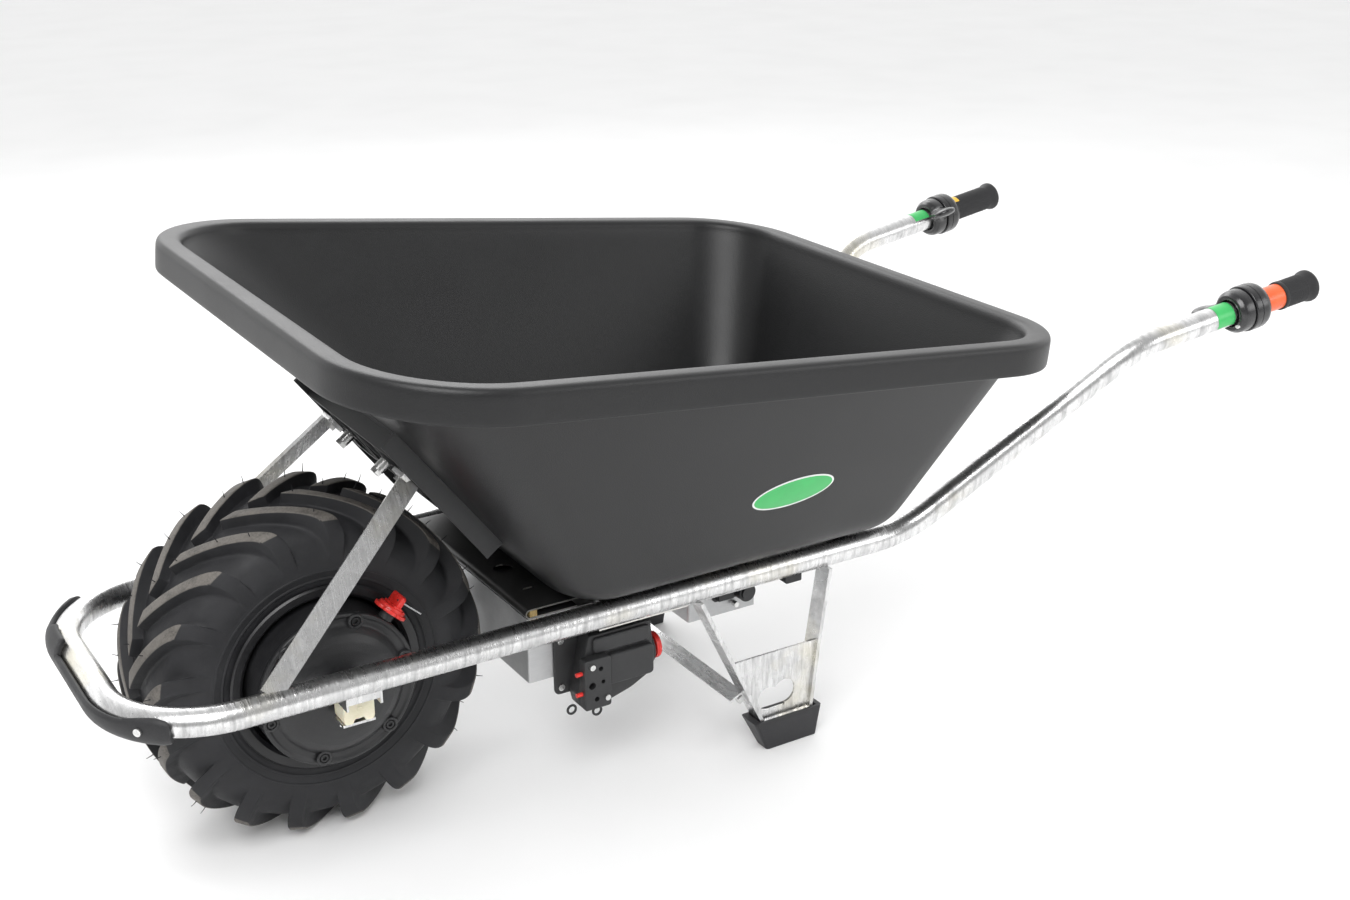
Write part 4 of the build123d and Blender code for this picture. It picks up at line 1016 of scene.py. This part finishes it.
def handle_axes(side):
    """A handle's own axes: X up, Y outward, Z along it to its end. The right one is mirrored."""
    start = place(BEND[0], -BEND[1], BEND[2])
    end = place(HANDLE_END[0], -HANDLE_END[1], HANDLE_END[2])
    left = axes(start, end - start, (0, 0, 1))
    mirror = Matrix.Diagonal((1, -1 if side > 0 else 1, 1, 1))
    return mirror @ left


def handle_length():
    return (Vector(HANDLE_END) - Vector(BEND)).length


def housing(side, name):
    """The round control housing, with full soft edges and a parting line."""
    start, end = HOUSING_START, HOUSING_START + HOUSING_LENGTH
    big, small = HOUSING_ROUNDS
    shoulder = CONTROL_R - 0.0002
    arc = []
    for k in range(9):
        a = pi / 2 * k / 8
        arc.append((end - big + big * sin(a), shoulder - big + big * cos(a)))
    front = []
    for k in range(5):
        a = pi / 2 * k / 4
        front.append((start + small - small * cos(a), shoulder - small + small * sin(a)))
    groove = [(start + 0.0095, shoulder), (start + 0.0098, CONTROL_R - 0.0009),
              (start + 0.0104, CONTROL_R - 0.0009), (start + 0.0107, shoulder)]
    profile = [(start, HOUSING_BORE)] + front + groove + arc + [(end, HOUSING_BORE)]
    obj = lathe("round_housing_" + name, profile, handle_axes(side), "control_plastic", 96, sharp=45)
    return piece(obj, "chassis", "control_plastic", "lever_housing_" + name)


def ellipsoid(name, centre, radii, tilt, frame_matrix):
    """A closed ellipsoid for blending into a lever."""
    matrix = frame_matrix @ Matrix.Translation(centre) @ Matrix.Rotation(tilt, 4, "X")
    rings = []
    for i in range(1, 24):
        lat = pi * i / 24
        wide, high, along = radii[0] * sin(lat), radii[1] * sin(lat), radii[2] * cos(lat)
        rings.append([matrix @ Vector((wide * cos(a), high * sin(a), along)) for a in circle(40)])
    return shell(name, rings, "control_plastic")


def cut(obj, cutter):
    """Takes the cutter away from the object, which keeps its own material."""
    material = obj.data.materials[0]
    modifier = obj.modifiers.new("cut", "BOOLEAN")
    modifier.object = cutter
    modifier.operation = "DIFFERENCE"
    modifier.solver = "EXACT"
    apply_modifiers(obj)
    obj.data.materials.clear()
    obj.data.materials.append(material)
    bpy.data.objects.remove(cutter)


def rod(name, low, high, radius, frame_matrix, segments):
    """A round cutter along the frame's Z."""
    profile = [(low, 0.0001), (low, radius), (high, radius), (high, 0.0001)]
    return lathe(name, profile, frame_matrix, "control_plastic", segments)


def thumb_lever(side, name, lift):
    """A big smooth thumb paddle that grows out of a ring on the handle."""
    local = Matrix.Rotation(-lift, 4, "Z")
    identity = Matrix.Identity(4)
    start, end = LEVER_START, LEVER_START + LEVER_LENGTH
    ring_r = CONTROL_R - 0.0022
    profile = [(start + 0.0005, 0.0178), (start - 0.0002, 0.0235), (start + 0.002, ring_r - 0.004),
               (start + 0.006, ring_r - 0.0008), (start + 0.012, ring_r), (end, ring_r), (end, 0.0178)]
    hub = lathe("hub", profile, identity, "control_plastic", 72)
    middle = LEVER_START + 0.004
    paddle = [ellipsoid("lobe", Vector((0, -0.046, middle - 0.001)), (0.0068, 0.0172, 0.0185), 0.0, local),
              ellipsoid("neck", Vector((0, -0.031, middle + 0.003)), (0.0085, 0.019, 0.0165), 0.1, local),
              ellipsoid("root", Vector((0, -0.022, middle + 0.006)), (0.0125, 0.012, 0.0125), 0.0, local)]
    obj = join("lever_blend", [hub] + paddle)
    remesh = obj.modifiers.new("remesh", "REMESH")
    remesh.mode = "VOXEL"
    remesh.voxel_size = 0.0011
    relax = obj.modifiers.new("smooth", "SMOOTH")
    relax.factor = 0.6
    relax.iterations = 14
    apply_modifiers(obj)
    cut(obj, rod("bore", 0.10, 0.25, 0.0162, identity, 64))
    for vertex in obj.data.vertices:
        vertex.co.z = min(vertex.co.z, end - 0.0001)
    obj.data.transform(handle_axes(side))
    if side > 0:
        obj.data.flip_normals()
    smooth(obj.data, 55)
    obj.name = "thumb_paddle_" + name
    return piece(obj, "thumb_lever_" + name, "control_plastic", "thumb_lever_" + name)


def lever_screw(side, name):
    """A small bright pan-head screw low on the lever's front face."""
    spot = handle_axes(side) @ Matrix.Translation(Vector((-0.013, 0.0175, LEVER_START)))
    head = ((1.0, 0.2), (1.0, 2.8), (-1.4, 2.8), (-2.6, 2.2), (-3.0, 1.2), (-2.4, 0.2))
    obj = lathe("lever_screw_" + name, scaled(head), spot, "zinc_fasteners", 24)
    return piece(obj, "thumb_lever_" + name, "zinc_fasteners")


GRIP_R = 0.0181
GRIP_BORE = 0.0161
GRIP_SECTIONS = 108
GRIP_END = ((0.014, 0.0186), (0.011, 0.0198), (0.008, 0.0210), (0.005, 0.0215), (0.0025, 0.0212),
            (0.0008, 0.0200), (0.0, 0.0180), (0.0, 0.0100), (0.0004, 0.0004))
DIAMONDS = 18                            # round the grip
DIAMOND_LENGTH = 0.0042
DIAMOND_HEIGHT = 0.00065
ROW_STEP = 0.0006


def diamond(along, share):
    """Height of the raised diamonds that far along the grip and that share of the way round."""
    phase = along / DIAMOND_LENGTH
    one = cos(2 * pi * (phase + DIAMONDS * share))
    two = cos(2 * pi * (phase - DIAMONDS * share))
    return DIAMOND_HEIGHT * max(0.0, one * two + 0.35)


def grip(side, name, start):
    """A rubber grip: raised diamonds over its length, a plain neck and a flared, rounded end."""
    end = handle_length() + 0.003
    neck, flare = start + 0.006, end - 0.017
    steps = int((flare - neck) / ROW_STEP)
    rows = [(start + 0.0001, GRIP_BORE), (start, 0.0163), (start, 0.0186), (start + 0.0008, 0.0192),
            (neck - 0.0006, 0.0192), (neck, 0.0182)]
    rows += [(neck + (flare - neck) * (k + 1) / steps, GRIP_R) for k in range(steps)]
    rows += [(end - back, radius) for back, radius in GRIP_END]
    matrix = handle_axes(side)
    rings = []
    for along, radius in [(end - 0.0032, GRIP_BORE)] + rows:
        patterned = radius == GRIP_R and neck + 0.001 < along < flare - 0.001
        ring = []
        for k, turn in enumerate(circle(GRIP_SECTIONS)):
            reach = radius + (diamond(along - neck, k / GRIP_SECTIONS) if patterned else 0.0)
            ring.append(matrix @ Vector((reach * cos(turn), reach * sin(turn), along)))
        rings.append(ring)
    obj = shell("diamond_grip_" + name, rings, "grip_rubber", sharp=60)
    return piece(obj, "chassis", "grip_rubber", "grip_" + name)


def tube_patch(name, side, low, high, start, end, radius, slot):
    """A thin label wrapped part of the way round the handle. Angles are up from straight outward."""
    matrix = handle_axes(side)
    steps = 28
    outside = radius + 0.0002
    rings = []
    for k in range(steps + 1):
        a = radians(low + (high - low) * k / steps)
        rings.append([matrix @ Vector((r * sin(a), r * cos(a), z))
                      for r, z in ((radius, start), (outside, start), (outside, end), (radius, end))])
    return piece(shell(name, rings, slot), "chassis", "galvanised")


def handles():
    for side, name, lift in ((-1, "left", radians(12)), (1, "right", radians(-24))):
        housing(side, name)
        thumb_lever(side, name, lift)
        lever_screw(side, name)
        tube_patch("green_label_" + name, side, -35, 150, 0.128, 0.1565, 0.01612, "label_green")
    grip(-1, "left", GRIP_START_LEFT)
    grip(1, "right", GRIP_START_RIGHT)
    tube_patch("yellow_label", 1, 62, 128, 0.2133, 0.2245, 0.0193, "label_yellow")


# ---- battery switch

SWITCH_FRAME = axes(place(0, 0, 0), (0, -1, 0), (1, 0, 0))       # X along, Y up, Z outward, in metres
BASE_OUT, FACE_OUT, STEP_OUT, BLOCK_OUT = 0.146, 0.170, 0.1778, 0.184


SWITCH_FACE = ((274, 140), (290, 214), (376, 214), (380, 158), (372, 142), (348, 130), (312, 120),
               (278, 122))
BUTTON_BOSS = ((373.5, 8.4), (373.5, 20.8), (389.5, 20.8), (390.8, 19.6), (390.8, 8.4))
BLOCK_HOLES = ((298, 176, 3.0), (286, 156, 4.5), (301, 158, 2.6), (292, 137, 3.2), (286, 181, 2.05),
               (306, 136, 2.05))         # X, Z and radius of the sockets and screws


def rectangle(x0, x1, z0, z1):
    return ((x0, z0), (x1, z0), (x1, z1), (x0, z1))


def switch_slab(name, points, corner, low, high, bevel, segments):
    """A rounded slab of the switch, from corners in millimetres, between two distances out."""
    outline = rounded(scaled(points), corner, 5)
    return block(name, outline, low, high, SWITCH_FRAME, "black_plastic", bevel, segments)


def battery_switch():
    """A flat base, and a moulded housing with a domed lid, a step and the button's boss."""
    base = switch_slab("switch_foot", rectangle(256, 372, 134, 216), 0.008, 0.1422, BASE_OUT, 0.0009, 3)
    piece(base, "chassis", "black_plastic", "switch_base")
    root = FACE_OUT - 0.002
    button = axes(place(0, -0.137, 0.160), (1, 0, 0), (0, 0, 1))
    parts = [switch_slab("moulding", SWITCH_FACE, 0.004, BASE_OUT + 0.0001, FACE_OUT - 0.0004, 0.0022, 4),
             switch_slab("lid", rectangle(294, 372, 190, 211), 0.006, root, FACE_OUT + 0.0045, 0.0036, 6),
             switch_slab("step", rectangle(313.5, 375.5, 146, 186), 0.006, root, STEP_OUT, 0.0028, 5),
             lathe("boss", scaled(BUTTON_BOSS), button, "black_plastic", 64)]
    return piece(join("switch_moulding", parts), "chassis", "black_plastic", "switch_housing")


def contact_block():
    """The contact block on the switch's face, with round sockets and screw holes."""
    root = FACE_OUT + 0.0003
    body = switch_slab("contacts", rectangle(276, 312, 124, 190), 0.004, root, BLOCK_OUT, 0.0014, 4)
    for x, z, radius in BLOCK_HOLES:
        spot = SWITCH_FRAME @ Matrix.Translation((x * MM, z * MM, 0))
        cut(body, rod("drill", BLOCK_OUT - 0.008, BLOCK_OUT + 0.002, radius * MM, spot, 32))
    body.name = "contact_block"
    smooth(body.data, 40)
    return piece(body, "chassis", "black_plastic", "socket_block")


# ---- stage

FLOOR_HALF_SIZE = 12.0


def stage():
    """A plain pale floor just under the tyre."""
    mesh = bpy.data.meshes.new("floor")
    size = FLOOR_HALF_SIZE
    corners = [(-size, -size, 0), (size, -size, 0), (size, size, 0), (-size, size, 0)]
    mesh.from_pydata(corners, [], [(0, 1, 2, 3)])
    floor = add_object("floor", mesh)
    floor.location.z = CAD_BOX[0][2] - 0.0006
    f = Finish("floor_paper", Specular_IOR_Level=0.2)
    f.shade(f.noise(3, 3, 0.5), 0.93, 0.96)
    f.gloss(f.noise(8, 3, 0.5), 0.7, 0.8)
    floor.data.materials.append(f.material)


def area_light(name, location, target, size, power):
    data = bpy.data.lights.new(name, "AREA")
    data.shape = "RECTANGLE"
    data.size, data.size_y = size
    data.energy = power
    lamp = add_object(name, data)
    lamp.location = location
    lamp.rotation_euler = (Vector(target) - Vector(location)).to_track_quat("-Z", "Y").to_euler()


STUDIO_BACK = (0.46, 0.74, -0.5)         # the lit side of the studio, as a direction; overhead is darker


def lights():
    world = bpy.data.worlds.new("studio")
    world.use_nodes = True
    tree = world.node_tree
    coords = tree.nodes.new("ShaderNodeTexCoord")
    facing = tree.nodes.new("ShaderNodeVectorMath")
    facing.operation = "DOT_PRODUCT"
    facing.inputs[1].default_value = STUDIO_BACK
    shade = tree.nodes.new("ShaderNodeMapRange")
    for key, number in zip(("From Min", "From Max", "To Min", "To Max"), (-0.7, 0.35, 0.42, 1.6)):
        shade.inputs[key].default_value = number
    tree.links.new(coords.outputs["Generated"], facing.inputs[0])
    tree.links.new(facing.outputs["Value"], shade.inputs["Value"])
    tree.links.new(shade.outputs["Result"], tree.nodes["Background"].inputs["Color"])
    bpy.context.scene.world = world
    area_light("key", (-1.6, -1.8, 3.0), (0, 0, 0.3), (2.2, 2.2), 105)
    area_light("fill", (2.2, -2.6, 1.6), (0.2, 0, 0.4), (1.6, 1.2), 18)
    area_light("back", (0.5, 2.6, 2.4), (0, 0, 0.5), (2.5, 1.5), 35)
    bpy.context.scene.view_settings.view_transform = "Standard"


def camera():
    data = bpy.data.cameras.new("camera")
    data.sensor_width = 36.0
    data.lens = 46.24
    obj = add_object("camera", data)
    obj.location = (-1.1211, -1.7697, 1.157)
    obj.rotation_euler = (radians(68.826), 0, radians(-32.096))
    bpy.context.scene.camera = obj


# ---- everything

def build():
    dress_nodes()
    tyre()
    tyre_hairs()
    tray()
    guard()
    for side, name in ((-1, "left"), (1, "right")):
        hub_cover(side, name)
        axle_block(side, name)
    socket_screws()
    knob()
    sticker()
    handles()
    battery_switch()
    contact_block()
    stage()
    lights()
    camera()


build()
